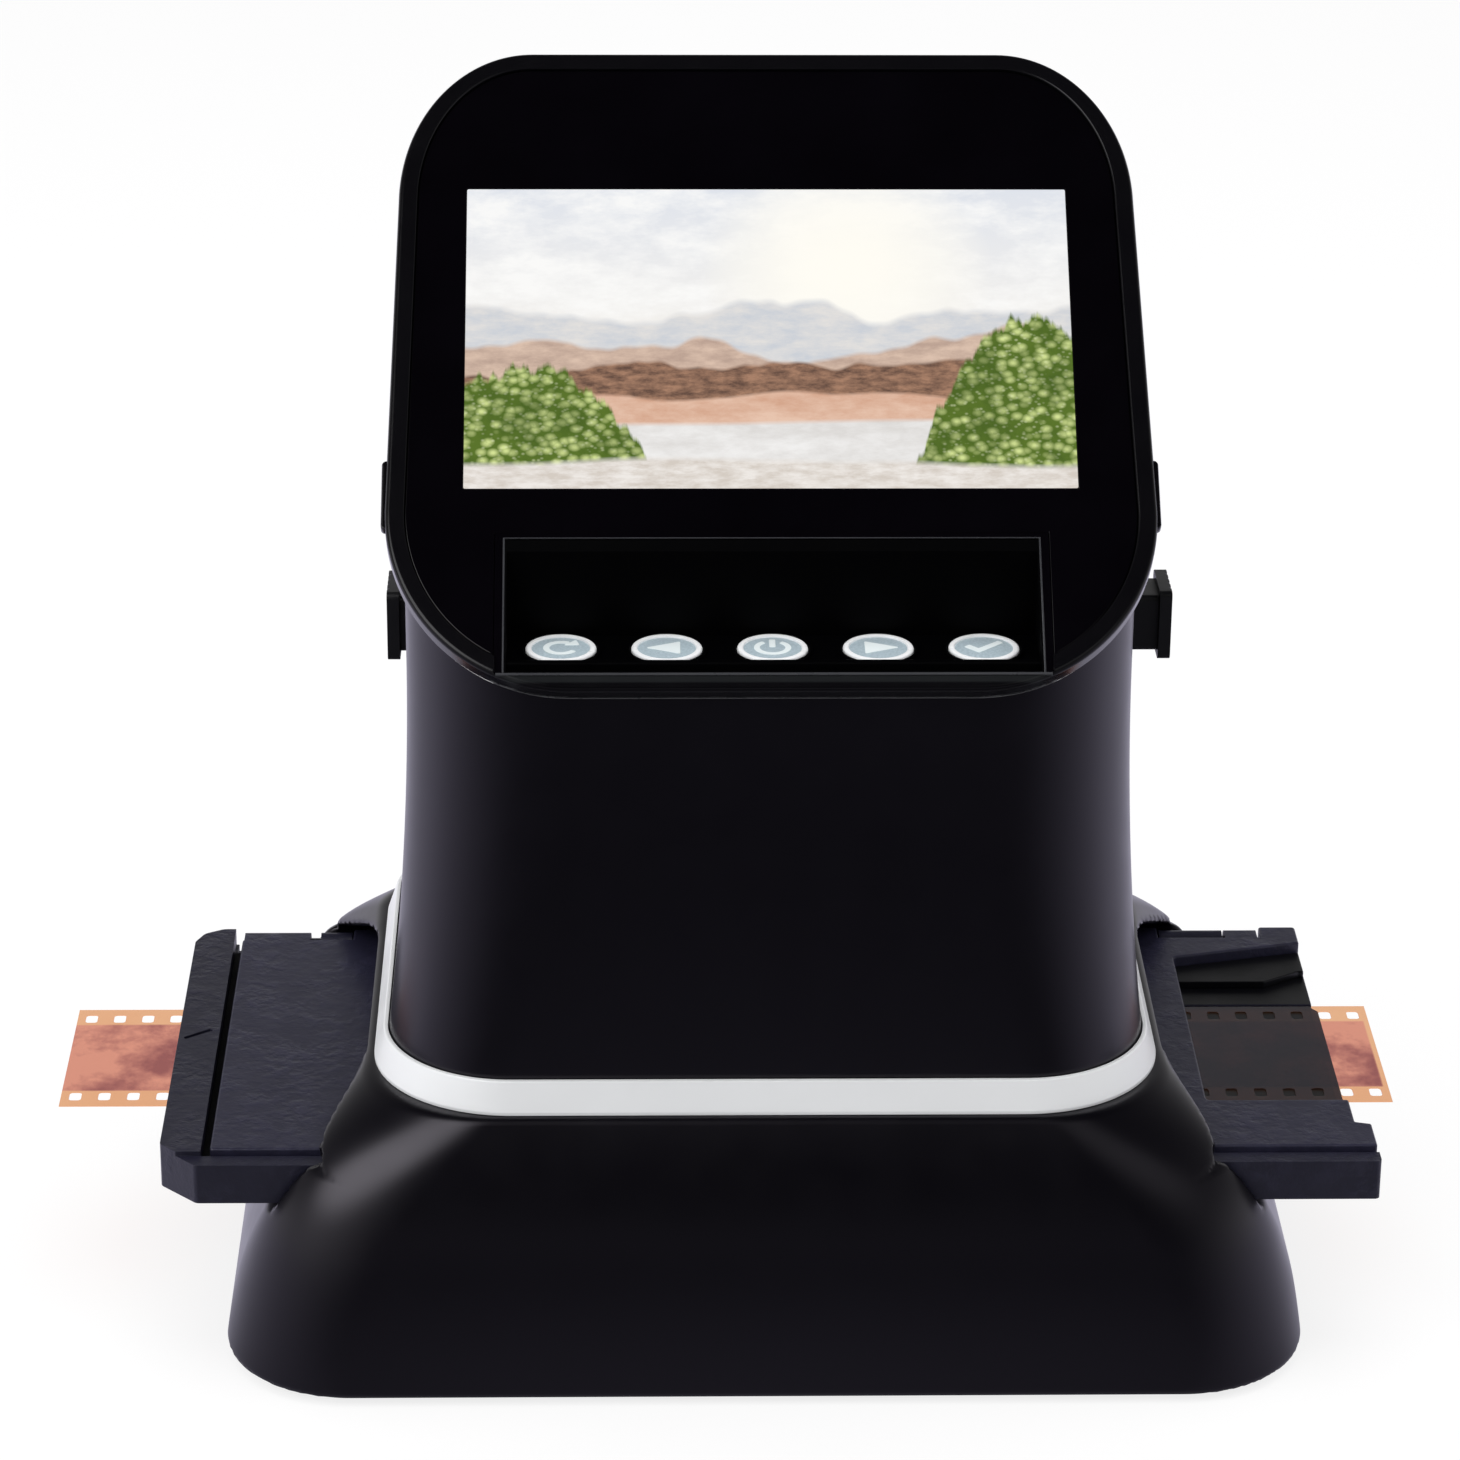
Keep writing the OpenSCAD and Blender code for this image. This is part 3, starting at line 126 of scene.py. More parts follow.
def fillet(pts, radius, steps=4):
    """Rounds the corners of a closed polygon. radius is one number, or one for each corner."""
    pts = [np.array(p, float) for p in pts]
    n = len(pts)
    rad = [radius] * n if np.isscalar(radius) else list(radius)
    out = []
    for i in range(n):
        p, a, b = pts[i], pts[i - 1], pts[(i + 1) % n]
        u, v = a - p, b - p
        lu, lv = np.linalg.norm(u), np.linalg.norm(v)
        u, v = u / lu, v / lv
        ang = math.acos(max(-1, min(1, float(u @ v))))
        if rad[i] <= 0 or ang > math.radians(176):
            out.append(p)
            continue
        d = min(rad[i] / math.tan(ang / 2), 0.48 * lu, 0.48 * lv)
        r = d * math.tan(ang / 2)
        c = p + (u + v) / np.linalg.norm(u + v) * (r / math.sin(ang / 2))
        s, e = p + u * d - c, p + v * d - c
        a0 = math.atan2(s[1], s[0])
        da = (math.atan2(e[1], e[0]) - a0 + math.pi) % (2 * math.pi) - math.pi
        out += [c + r * np.array([math.cos(a0 + da * k / steps), math.sin(a0 + da * k / steps)])
                for k in range(steps + 1)]
    return np.array(out)


# ---------- mesh building ----------

def shade(me, angle):
    me.shade_smooth()
    if angle is not None:
        me.set_sharp_from_angle(angle=math.radians(angle))


def linked(name, data):
    """A new object in the scene."""
    o = bpy.data.objects.new(name, data)
    bpy.context.scene.collection.objects.link(o)
    return o


def mesh(name, verts, faces, angle=SHARP, fix=True):
    """Object from points in mm and faces."""
    me = bpy.data.meshes.new(name)
    me.from_pydata([tuple(p) for p in np.asarray(verts, float) * MM], [], [tuple(f) for f in faces])
    if fix:
        bm = bmesh.new()
        bm.from_mesh(me)
        bmesh.ops.remove_doubles(bm, verts=bm.verts, dist=1e-7)
        bmesh.ops.recalc_face_normals(bm, faces=bm.faces)
        bm.to_mesh(me)
        bm.free()
    me.validate()
    shade(me, angle)
    return linked(name, me)


def settle(o, angle=SHARP):
    """Applies an object's modifiers."""
    dg = bpy.context.evaluated_depsgraph_get()
    dg.update()
    me = bpy.data.meshes.new_from_object(o.evaluated_get(dg))
    o.modifiers.clear()
    old = o.data
    o.data = me
    bpy.data.meshes.remove(old)
    if angle is not None:
        shade(me, angle)
    return o


def cut(o, *tools, op="DIFFERENCE"):
    """Takes the tools from an object, or joins or intersects them with it, and uses them up."""
    for t in tools:
        m = o.modifiers.new("b", "BOOLEAN")
        m.operation, m.solver, m.object = op, "EXACT", t
        settle(o)
        bpy.data.objects.remove(t)
    return o


def bevel(o, width, segments=2, limit=32):
    m = o.modifiers.new("v", "BEVEL")
    m.width, m.segments = width * MM, segments
    m.limit_method, m.angle_limit = "ANGLE", math.radians(limit)
    return settle(o)


def loft(name, rings, closed=False):
    """Skin through rings of equal length; closed joins the last ring to the first, open ends get caps."""
    n, k = len(rings[0]), len(rings)
    v = np.vstack(rings)
    f = []
    for a in range(k if closed else k - 1):
        b = (a + 1) % k
        f += [(a * n + i, b * n + i, b * n + (i + 1) % n, a * n + (i + 1) % n) for i in range(n)]
    if not closed:
        f += [tuple(range(n)), tuple(range((k - 1) * n, k * n))]
    return mesh(name, v, f)


def ring(name, shape, profile, face=False):
    """A closed profile of (inset, height) swept along shape(inset)."""
    rings = [at_z(shape(p[0]), p[1]) for p in profile]
    return loft(name, [on_face(r) for r in rings] if face else rings, closed=True)


def prism(name, pts, low, high, face=False):
    a, b = at_z(np.asarray(pts), low), at_z(np.asarray(pts), high)
    return loft(name, [on_face(a), on_face(b)] if face else [a, b])


def rect(x0, y0, x1, y1, r=0.0, steps=5):
    p = [(x0, y0), (x1, y0), (x1, y1), (x0, y1)]
    return fillet(p, r, steps) if r > 0 else np.array(p, float)


def box(low, high, face=False):
    return prism("tool", rect(low[0], low[1], high[0], high[1]), low[2], high[2], face)


def turned(name, profile, centre, steps=72, closed=False):
    """A profile of (radius, height) turned about a vertical axis; closed makes a ring of it."""
    a = np.arange(steps) * 2 * math.pi / steps
    rings = [at_z(np.column_stack([centre[0] + r * np.cos(a), centre[1] + r * np.sin(a)]), z) for r, z in profile]
    return loft(name, rings, closed)


def rod(name, p, q, r, steps=32):
    p, q = np.array(p, float), np.array(q, float)
    d = (q - p) / np.linalg.norm(q - p)
    s = np.cross(d, [0, 0, 1] if abs(d[2]) < 0.9 else [1, 0, 0])
    s /= np.linalg.norm(s)
    t = np.cross(d, s)
    a = np.arange(steps) * 2 * math.pi / steps
    c = np.outer(np.cos(a), s) * r + np.outer(np.sin(a), t) * r
    return loft(name, [p + c, q + c])


def dress(o, material, body="housing", swaps=()):
    """Gives a piece its material, its body and the nodes it stands for."""
    if not o.data.has_custom_normals:
        # broad faces keep their own normals beside narrow rounded edges
        m = o.modifiers.new("n", "WEIGHTED_NORMAL")
        m.keep_sharp, m.weight = True, 95
        settle(o, None)
    o.data.materials.clear()
    o.data.materials.append(material)
    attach(o, body)
    if swaps:
        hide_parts(*swaps)
    return o


# ---------- materials ----------

def feed(tree, socket, v):
    """Links an output to a socket, or sets the socket's own value."""
    if hasattr(v, "is_output"):
        tree.links.new(v, socket)
    else:
        socket.default_value = v


class Nodes:
    """Small helper round a material's node tree."""

    def __init__(self, name):
        self.mat = bpy.data.materials.new(name)
        self.mat.use_nodes = True
        self.t = self.mat.node_tree
        self.bsdf = next(n for n in self.t.nodes if n.type == "BSDF_PRINCIPLED")
        self.out = next(n for n in self.t.nodes if n.type == "OUTPUT_MATERIAL")
        self.coord = self.t.nodes.new("ShaderNodeTexCoord").outputs["Object"]

    def new(self, kind, **sockets):
        n = self.t.nodes.new(kind)
        for k, v in sockets.items():
            key = k.replace("_", " ")
            feed(self.t, n.inputs[int(key[1:])] if key[0] == "i" and key[1:].isdigit() else n.inputs[key], v)
        return n

    def noise(self, scale, detail=3.0, rough=0.55):
        return self.new("ShaderNodeTexNoise", Vector=self.coord, Scale=scale, Detail=detail,
                        Roughness=rough).outputs["Fac"]

    def remap(self, fac, a, b, low=0.3, high=0.7):
        return self.new("ShaderNodeMapRange", Value=fac, From_Min=low, From_Max=high, To_Min=a,
                        To_Max=b).outputs[0]

    def math(self, op, a, b=0.0, c=None):
        n = self.t.nodes.new("ShaderNodeMath")
        n.operation = op
        for i, v in enumerate([a, b] + ([c] if c is not None else [])):
            feed(self.t, n.inputs[i], v)
        return n.outputs[0]

    def blend(self, fac, a, b):
        """Mixes two colours, each an output or three numbers."""
        n = self.t.nodes.new("ShaderNodeMix")
        n.data_type = "RGBA"
        feed(self.t, n.inputs[0], fac)
        for i, v in ((6, a), (7, b)):
            feed(self.t, n.inputs[i], v if hasattr(v, "is_output") else (*v, 1.0))
        return n.outputs[2]

    def bump(self, height, strength, distance):
        n = self.new("ShaderNodeBump", Height=height, Strength=strength, Distance=distance)
        self.t.links.new(n.outputs[0], self.bsdf.inputs["Normal"])

    def set(self, **sockets):
        for k, v in sockets.items():
            feed(self.t, self.bsdf.inputs[k.replace("_", " ")], v)


def plastic(name, colour, rough, grain=1800.0, depth=0.02, strength=0.25, vary=0.12, spread=0.06, metal=0.0,
            ior=1.5, tint=(1, 1, 1)):
    """Moulded or painted surface: slow drift in colour and roughness, fine grain in the bump."""
    m = Nodes(name)
    c = np.array(colour)
    slow, fine = m.noise(28.0, 4.0), m.noise(grain, 2.0)
    base = m.blend(m.remap(slow, 0, 1), tuple(c * (1 - vary)), tuple(np.minimum(c * (1 + vary), 1)))
    m.set(Base_Color=base, Metallic=metal, IOR=ior, Specular_Tint=(*tint, 1),
          Roughness=m.remap(m.noise(140.0, 4.0), rough - spread, rough + spread))
    m.bump(fine, strength, depth * MM)
    return m.mat


M = {
    "housing": plastic("satin_black", (0.0016, 0.0013, 0.0027), 0.30, 2600, 0.012, 0.16, vary=0.1, spread=0.02,
                       tint=(0.95, 0.90, 1.0)),
    "inner": plastic("inner_black", (0.0035, 0.0033, 0.004), 0.5, 1600, 0.02, 0.3),
    "rubber": plastic("rubber", (0.012, 0.012, 0.013), 0.75, 1500, 0.05, 0.5),
    "screw": plastic("screw_steel", (0.42, 0.42, 0.44), 0.32, 3000, 0.01, 0.2, metal=1.0),
    "board": plastic("circuit_board", (0.012, 0.085, 0.03), 0.4, 900, 0.02, 0.3, vary=0.25),
    "led": plastic("led_yellow", (0.8, 0.72, 0.35), 0.35, 1500),
    "white": plastic("white_plastic", (0.8, 0.8, 0.79), 0.45, 1500),
    "silver": plastic("silver_paint", (0.86, 0.87, 0.885), 0.36, 3200, 0.008, 0.2, vary=0.02, metal=0.05),
    "component": plastic("component_black", (0.012, 0.012, 0.013), 0.5, 1500, 0.02, 0.3),
    "socket": plastic("socket_metal", (0.5, 0.5, 0.52), 0.3, 2500, 0.01, 0.2, metal=1.0),
    "lens_black": plastic("lens_black", (0.006, 0.006, 0.007), 0.35, 1500),
    "slider": plastic("slider_black", (0.004, 0.004, 0.005), 0.38, 2200, 0.02, 0.25),
    "ribbon": plastic("ribbon", (0.42, 0.2, 0.05), 0.35, 900),
}


def leather(name, colour, rough):
    """Moulded leather grain: shallow pebbles in patches, on near-black plastic."""
    m = Nodes(name)
    c = np.array(colour)
    grain = m.noise(480, 4, 0.6)
    patch = m.remap(m.noise(110, 3), 0.35, 1.0, 0.42, 0.6)
    height = m.math("MULTIPLY", m.remap(grain, 0, 1, 0.38, 0.62), patch)
    base = m.blend(m.remap(m.noise(35, 4), 0, 1), tuple(c * 0.88), tuple(c * 1.12))
    m.set(Base_Color=m.blend(m.remap(height, 0, 1, 0, 1), tuple(c * 0.7), base),
          Roughness=m.remap(m.noise(160, 4), rough - 0.05, rough + 0.05))
    m.bump(height, 0.65, 0.12 * MM)
    return m.mat


M["holder"] = leather("slate_grain", (0.0240, 0.0230, 0.0480), 0.43)
M["frame"] = leather("slate_frame", (0.0165, 0.0158, 0.0330), 0.42)


def glass_material():
    m = Nodes("cover_glass")
    m.set(Base_Color=m.blend(m.remap(m.noise(60, 4), 0, 1), (0.0012, 0.0009, 0.0016), (0.0018, 0.0014, 0.0024)),
          Roughness=m.remap(m.noise(90, 5), 0.03, 0.07), IOR=1.45)
    m.bump(m.noise(14, 2), 0.02, 0.02 * MM)
    return m.mat


def lens_material():
    m = Nodes("lens_glass")
    m.set(Base_Color=m.blend(m.remap(m.noise(400, 2), 0, 1), (0.55, 0.7, 0.8), (0.62, 0.72, 0.85)),
          Roughness=m.remap(m.noise(300, 3), 0.01, 0.04), Transmission_Weight=0.85, IOR=1.5)
    return m.mat


def film_material():
    """Processed colour negative: orange base, darker frames, glossy."""
    m = Nodes("negative_film")
    sep = m.new("ShaderNodeSeparateXYZ", Vector=m.coord).outputs
    x, y = sep[0], sep[1]
    # frames are 36 x 24 mm, eight perforations apart, and start where the photograph has them
    start, apart = 0.3905, 8 * HOLE_PITCH * MM
    phase = m.math("FRACT", m.math("DIVIDE", m.math("ADD", x, start), apart))
    across = m.remap(m.math("ABSOLUTE", m.math("SUBTRACT", phase, 0.5)), 1, 0, 0.470, 0.478)
    along = m.remap(m.math("ABSOLUTE", y), 1, 0, 0.01185, 0.01205)
    inside = m.math("MULTIPLY", across, along)
    # light passes both faces, so each colour is the square root of what shows
    picture = m.blend(m.remap(m.noise(48, 7, 0.66), 0, 1, 0.45, 0.60), (0.58, 0.31, 0.29), (0.88, 0.56, 0.46))
    edge = m.blend(m.remap(m.noise(40, 3), 0, 1), (0.93, 0.66, 0.47), (0.96, 0.72, 0.53))
    base = m.blend(inside, edge, picture)
    trans = m.new("ShaderNodeBsdfTransparent", Color=base)
    scatter = m.new("ShaderNodeBsdfDiffuse", Color=m.blend(0.75, base, (0.0, 0.0, 0.0)))
    gloss = m.new("ShaderNodeBsdfGlossy", Color=(0.86, 0.88, 1.0, 1), Roughness=0.09)
    soft = m.new("ShaderNodeMixShader", i0=0.01, i1=trans.outputs[0], i2=scatter.outputs[0])
    # the light leaves through the far face without a mirror image
    front = m.math("SUBTRACT", 1.0, m.new("ShaderNodeNewGeometry").outputs["Backfacing"])
    shine = m.math("MULTIPLY", m.math("MULTIPLY", m.new("ShaderNodeFresnel", IOR=1.6).outputs[0], 1.3), front)
    top = m.new("ShaderNodeMixShader", i0=shine, i1=soft.outputs[0], i2=gloss.outputs[0])
    m.t.links.new(top.outputs[0], m.out.inputs["Surface"])
    return m.mat


def bezel_material():
    """Glossy black; a painted highlight makes the flat of the narrow lip below the controls greyer."""
    m = Nodes("bezel_black")
    sep = m.new("ShaderNodeSeparateXYZ", Vector=m.coord).outputs
    # painted highlight: a greyer colour on the lip's flat, where the light falls, and not on its side
    lip = m.math("MULTIPLY", m.remap(sep[1], 1, 0, -0.0470, -0.0462),
                 m.remap(m.math("ABSOLUTE", sep[0]), 1, 0, 0.040, 0.043))
    # down the face, from its middle
    down = m.math("ADD", m.math("MULTIPLY", sep[1], -CT), m.math("MULTIPLY_ADD", sep[2], -ST, FACE_UP))
    lip = m.math("MULTIPLY", lip, m.remap(down, 1, 0, 0.0602, 0.0606))
    tone = m.blend(m.remap(m.noise(28, 4), 0, 1), (0.0024, 0.0022, 0.0030), (0.0029, 0.0027, 0.0036))
    m.set(Base_Color=m.blend(lip, tone, (0.0112, 0.0122, 0.0132)),
          Roughness=m.remap(m.noise(140, 4), 0.16, 0.24), IOR=1.36)
    m.bump(m.noise(3200, 2), 0.1, 0.006 * MM)
    return m.mat


M["glass"], M["lens"], M["film"] = glass_material(), lens_material(), film_material()
M["bezel"] = bezel_material()


def button_material():
    m = Nodes("button_face")
    fine = m.noise(2600, 3, 0.7)
    base = m.blend(m.remap(fine, 0, 1, 0.35, 0.65), (0.33, 0.42, 0.47), (0.46, 0.55, 0.60))
    m.set(Base_Color=base, Roughness=m.remap(m.noise(500, 3), 0.35, 0.5))
    m.bump(fine, 0.5, 0.03 * MM)
    return m.mat


M["button"] = button_material()
M["mark"] = plastic("button_mark", (0.80, 0.87, 0.88), 0.4, 1800, 0.01, 0.2, vary=0.03)
M["recess"] = plastic("recess_black", (0.0006, 0.0006, 0.0008), 0.5, 2200, 0.012, 0.15, ior=1.12)
# painted shade for the tray's slots and the film's way in
M["dark"] = plastic("painted_shade_black", (0.0022, 0.0022, 0.0032), 0.36, 1500, 0.03, 0.3, ior=1.4)
M["bright"] = plastic("trim_silver", (0.95, 0.955, 0.965), 0.3, 3200, 0.008, 0.15, vary=0.02, metal=0.15)
# painted highlights: lighter greys for the fine beads and the lip's lower edge, where light catches them
M["edge"] = plastic("edge_painted_highlight", (0.036, 0.037, 0.042), 0.3, 2600, 0.008, 0.12)
M["line"] = plastic("line_painted_highlight", (0.115, 0.117, 0.125), 0.3, 2600, 0.008, 0.12)
M["rim"] = plastic("button_rim", (0.88, 0.89, 0.90), 0.3, 1800, 0.01, 0.2, vary=0.02)


# ---------- camera, light and stage ----------

# the photograph's width and focal length in pixels, and the camera's sensor in mm
PHOTO, FOCAL, SENSOR = 1460, 5010, 36
# patches of light that only gloss sees: bearing and height, outer and inner radius in degrees, strength
PATCHES = ((-50, 42, 27, 15, 3.2), (-42, 6, 34, 8, 0.35), (33, 36, 22, 8, 0.4), (0, -6, 13, 3, 0.24))
# the world's strength as seen, as mirrored and as light
BACKDROP, MIRRORED, AMBIENT = 0.965, 1.05, 0.52


def camera():
    """The photograph's camera, fitted to the display, the table, the column and the film."""
    data = bpy.data.cameras.new("camera")
    data.lens, data.sensor_width = FOCAL / PHOTO * SENSOR, SENSOR
    data.clip_start, data.clip_end = 0.02, 60
    cam = linked("camera", data)
    cam.matrix_world = (Matrix.Translation((-0.023, -0.746, 0.4148)) @ Matrix.Rotation(math.radians(-1.339), 4, "Z")
                        @ Matrix.Rotation(math.radians(90 - 23.383), 4, "X")
                        @ Matrix.Rotation(math.radians(0.426), 4, "Z"))
    bpy.context.scene.camera = cam


def ramp(nodes, stops):
    r = nodes.new("ShaderNodeValToRGB")
    e = r.color_ramp.elements
    while len(e) < len(stops):
        e.new(0.5)
    for el, (p, v) in zip(e, stops):
        el.position, el.color = p, (v, v, v, 1)
    return r


def world():
    """White round about and behind, dark overhead and in front, as in a product studio."""
    w = bpy.data.worlds.new("studio")
    bpy.context.scene.world = w
    w.use_nodes = True
    t = w.node_tree
    n = t.nodes
    n.clear()

    def m(op, a, b):
        k = n.new("ShaderNodeMath")
        k.operation = op
        feed(t, k.inputs[0], a)
        feed(t, k.inputs[1], b)
        return k.outputs[0]

    sep = n.new("ShaderNodeSeparateXYZ")
    toward = n.new("ShaderNodeTexCoord").outputs["Generated"]
    t.links.new(toward, sep.inputs[0])
    x, y, z = sep.outputs
    flat = m("SQRT", m("ADD", m("MULTIPLY", x, x), m("MULTIPLY", y, y)), 0)
    side = ramp(n, [(0.0, 0.0), (0.06, 0.02), (0.16, 0.3), (0.3, 0.7), (0.5, 1.0)])
    behind = m("DIVIDE", y, m("MAXIMUM", flat, 0.05))
    t.links.new(m("ADD", m("MULTIPLY", behind, 0.5), 0.5), side.inputs[0])
    up = ramp(n, [(0.0, 1.0), (0.5, 1.0), (0.56, 0.8), (0.66, 0.34), (0.76, 0.16), (0.9, 0.02), (1.0, 0.0)])
    t.links.new(m("ADD", m("MULTIPLY", z, 0.5), 0.5), up.inputs[0])
    glow = m("MULTIPLY", side.outputs[0], up.outputs[0])

    def softbox(bearing, height, outer, inner, level):
        """A soft round patch of light. Its bearing runs from the front to the right."""
        a, e = math.radians(bearing), math.radians(height)
        dot = n.new("ShaderNodeVectorMath")
        dot.operation = "DOT_PRODUCT"
        t.links.new(toward, dot.inputs[0])
        dot.inputs[1].default_value = (math.sin(a) * math.cos(e), -math.cos(a) * math.cos(e), math.sin(e))
        k = n.new("ShaderNodeMapRange")
        k.interpolation_type = "SMOOTHSTEP"
        t.links.new(dot.outputs["Value"], k.inputs["Value"])
        k.inputs["From Min"].default_value = math.cos(math.radians(outer))
        k.inputs["From Max"].default_value = math.cos(math.radians(inner))
        k.inputs["To Min"].default_value, k.inputs["To Max"].default_value = 0.0, level
        return k.outputs[0]

    for patch in PATCHES:
        glow = m("ADD", glow, softbox(*patch))
    lp = n.new("ShaderNodeLightPath").outputs
    seen = m("MAXIMUM", lp["Is Camera Ray"], lp["Is Transmission Ray"])
    gloss = m("MULTIPLY", lp["Is Glossy Ray"], m("MULTIPLY", glow, MIRRORED))
    plain = m("MULTIPLY", m("SUBTRACT", 1.0, lp["Is Glossy Ray"]), AMBIENT)
    level = m("ADD", m("MULTIPLY", seen, BACKDROP),
              m("MULTIPLY", m("SUBTRACT", 1.0, seen), m("ADD", gloss, plain)))
    bg = n.new("ShaderNodeBackground")
    bg.inputs["Color"].default_value = (1.0, 0.998, 1.0, 1)
    t.links.new(level, bg.inputs["Strength"])
    out = n.new("ShaderNodeOutputWorld")
    t.links.new(bg.outputs[0], out.inputs[0])


def lamp(name, size, energy, place, target=(0, 0, 0.09)):
    d = bpy.data.lights.new(name, "AREA")
    d.shape, d.size, d.size_y, d.energy = "RECTANGLE", size[0], size[1], energy
    o = linked(name, d)
    o.location = place
    o.rotation_euler = (Vector(target) - Vector(place)).to_track_quat("-Z", "Y").to_euler()
    o.visible_glossy = False


def floor():
    """Pale floor: the eye sees near-white with a faint shadow, gloss sees it dim towards the front."""
    n, reach = 96, 9000
    a = np.arange(n) * 2 * math.pi / n
    pts = np.column_stack([reach * np.cos(a), reach * np.sin(a), np.zeros(n)])
    o = mesh("floor", pts, [tuple(range(n))], fix=False)
    m = Nodes("floor_paper")
    sep = m.new("ShaderNodeSeparateXYZ", Vector=m.coord).outputs
    far = m.math("SQRT", m.math("ADD", m.math("MULTIPLY", sep[0], sep[0]), m.math("MULTIPLY", sep[1], sep[1])))
    ahead = m.math("MULTIPLY", m.math("DIVIDE", sep[1], m.math("MAXIMUM", far, 0.02)), -1.0)
    side = m.remap(ahead, 1.0, 0.0, 0.0, 0.87)
    near = m.math("ADD", m.remap(far, 0.31, 0.045, 0.02, 0.21), m.remap(far, 0.0, 0.22, 0.30, 0.6))
    lp = m.new("ShaderNodeLightPath").outputs
    seen = m.math("MAXIMUM", lp["Is Camera Ray"], lp["Is Transmission Ray"])
    paper = m.noise(900, 3)
    albedo = m.math("ADD", m.math("MULTIPLY", seen, 0.20), m.math("MULTIPLY", lp["Is Diffuse Ray"], 0.62))
    col = m.blend(albedo, (0, 0, 0), (1, 1, 1))
    dif = m.new("ShaderNodeBsdfDiffuse", Color=m.blend(m.remap(paper, 0, 1), col, m.blend(0.02, col, (0, 0, 0))))
    glow = m.math("MULTIPLY", lp["Is Glossy Ray"], m.math("MAXIMUM", side, near))
    em = m.new("ShaderNodeEmission", Strength=m.math("ADD", m.math("MULTIPLY", seen, 0.81), glow),
               Color=m.blend(lp["Is Glossy Ray"], (1, 0.998, 1), (0.84, 0.81, 1.0)))
    add = m.new("ShaderNodeAddShader", i0=dif.outputs[0], i1=em.outputs[0])
    m.t.links.new(add.outputs[0], m.out.inputs["Surface"])
    o.data.materials.append(m.mat)


bpy.context.scene.view_settings.view_transform = "Standard"
camera()
world()
floor()
lamp("key_left", (0.9, 0.7), 4.6, (-0.75, -0.55, 1.0))
lamp("fill_right", (0.9, 0.7), 3.0, (0.85, -0.35, 0.9))
lamp("top", (0.8, 0.8), 5.6, (0.0, 0.1, 1.2))
lamp("side_left", (0.5, 0.3), 2.0, (-0.9, -0.1, 0.16), (0, 0, 0.09))


# ---------- carried-over CAD nodes ----------

CARRIED = {
    "inner": "base_plate holder_guide control_panel sensor_shroud",
    "rubber": "rubber_feet",
    "screw": "base_screws guide_screws column_screws rear_shell_screws bezel_screws button_board_screws "
             "main_board_screws optical_frame_screws holder_hinge_pins",
    "board": "backlight_board button_board main_board card_board sensor_board",
    "led": "backlight_leds",
    "white": "light_box backlight_diffuser",
    "component": "display_module button_switches board_chips optical_frame image_sensor",
    "socket": "usb_socket video_socket card_socket",
    "lens_black": "lens_barrel",
    "lens": "objective_lens slider_lenses",
    "slider": "lens_carriage slider_knob_left slider_knob_right",
    "ribbon": "display_ribbon sensor_ribbon",
    "housing": "base_skirt column_front_shell column_rear_shell",
    "silver": "silver_band head_trim",
    "bezel": "head_bezel",
    "glass": "display_glass",
    "button": "mode_button left_button power_button right_button confirm_button",
    "frame": "holder_frame",
    "holder": "holder_lid",
    "film": "film_strip",
}
CAD_SHARP = 28
for key, names in CARRIED.items():
    for node in names.split():
        data = NODES[node].data
        data.materials.clear()
        data.materials.append(M[key])
        shade(data, CAD_SHARP)


# ---------- column shells ----------

# where the front and rear shells meet, their wall and the chamfer along the seam
SPLIT, WALL, CHAMFER = 22.0, 2.2, 0.28
# rings in the tapering part and between it and the head
TAPER_RINGS, HEAD_RINGS = 30, 7
PORT_Y, PORT_Z = 9, 62
# turns (y, z, x) points into (x, y, z)
AXIS_X = Matrix(((0, 0, 1, 0), (1, 0, 0, 0), (0, 1, 0, 0), (0, 0, 0, 1)))


def along_x(name, pts, low, high):
    """A prism along x, from points of (y, z)."""
    o = prism(name, pts, low, high)
    o.data.transform(AXIS_X)
    return o


def arc(cx, cy, rx, ry, a, b, n):
    t = np.radians(np.linspace(a, b, n))
    return [(cx + rx * math.cos(k), cy + ry * math.sin(k)) for k in t]


def line(p, q, n):
    return [(mix(p[0], q[0], t), mix(p[1], q[1], t)) for t in np.linspace(0, 1, n + 2)[1:-1]]


def half_path(z, inset, rear, cut_y):
    """The front or rear share of the column's outline, anticlockwise."""
    fw, bw, front, back, fr, br = column_sizes(z)
    rx, ry, cx = br[0] - inset, br[1] - inset, bw - br[0]
    cy = back - br[1]
    a0 = math.degrees(math.asin(max(0.0, min(1.0, (cut_y - cy) / ry))))
    if rear:
        right, left = arc(cx, cy, rx, ry, a0, 90, 28), arc(-cx, cy, rx, ry, 90, 180 - a0, 28)
        return np.array(right + line(right[-1], left[0], 10) + left)
    fx, fy, qx, qy = fw - fr[0], front + fr[1], fr[0] - inset, fr[1] - inset
    up, down = arc(-cx, cy, rx, ry, 180 - a0, 180, 6), arc(cx, cy, rx, ry, 0, a0, 6)
    fl, frt = arc(-fx, fy, qx, qy, 180, 270, 34), arc(fx, fy, qx, qy, 270, 360, 34)
    return np.array(up + line(up[-1], fl[0], 8) + fl + line(fl[-1], frt[0], 10) + frt
                    + line(frt[-1], down[0], 8) + down)


def head_z(y, n=-4.0):
    """Height at which a vertical line meets a plane under the display face."""
    return FACE_Z + (n + ST * (y - FACE_Y)) / CT


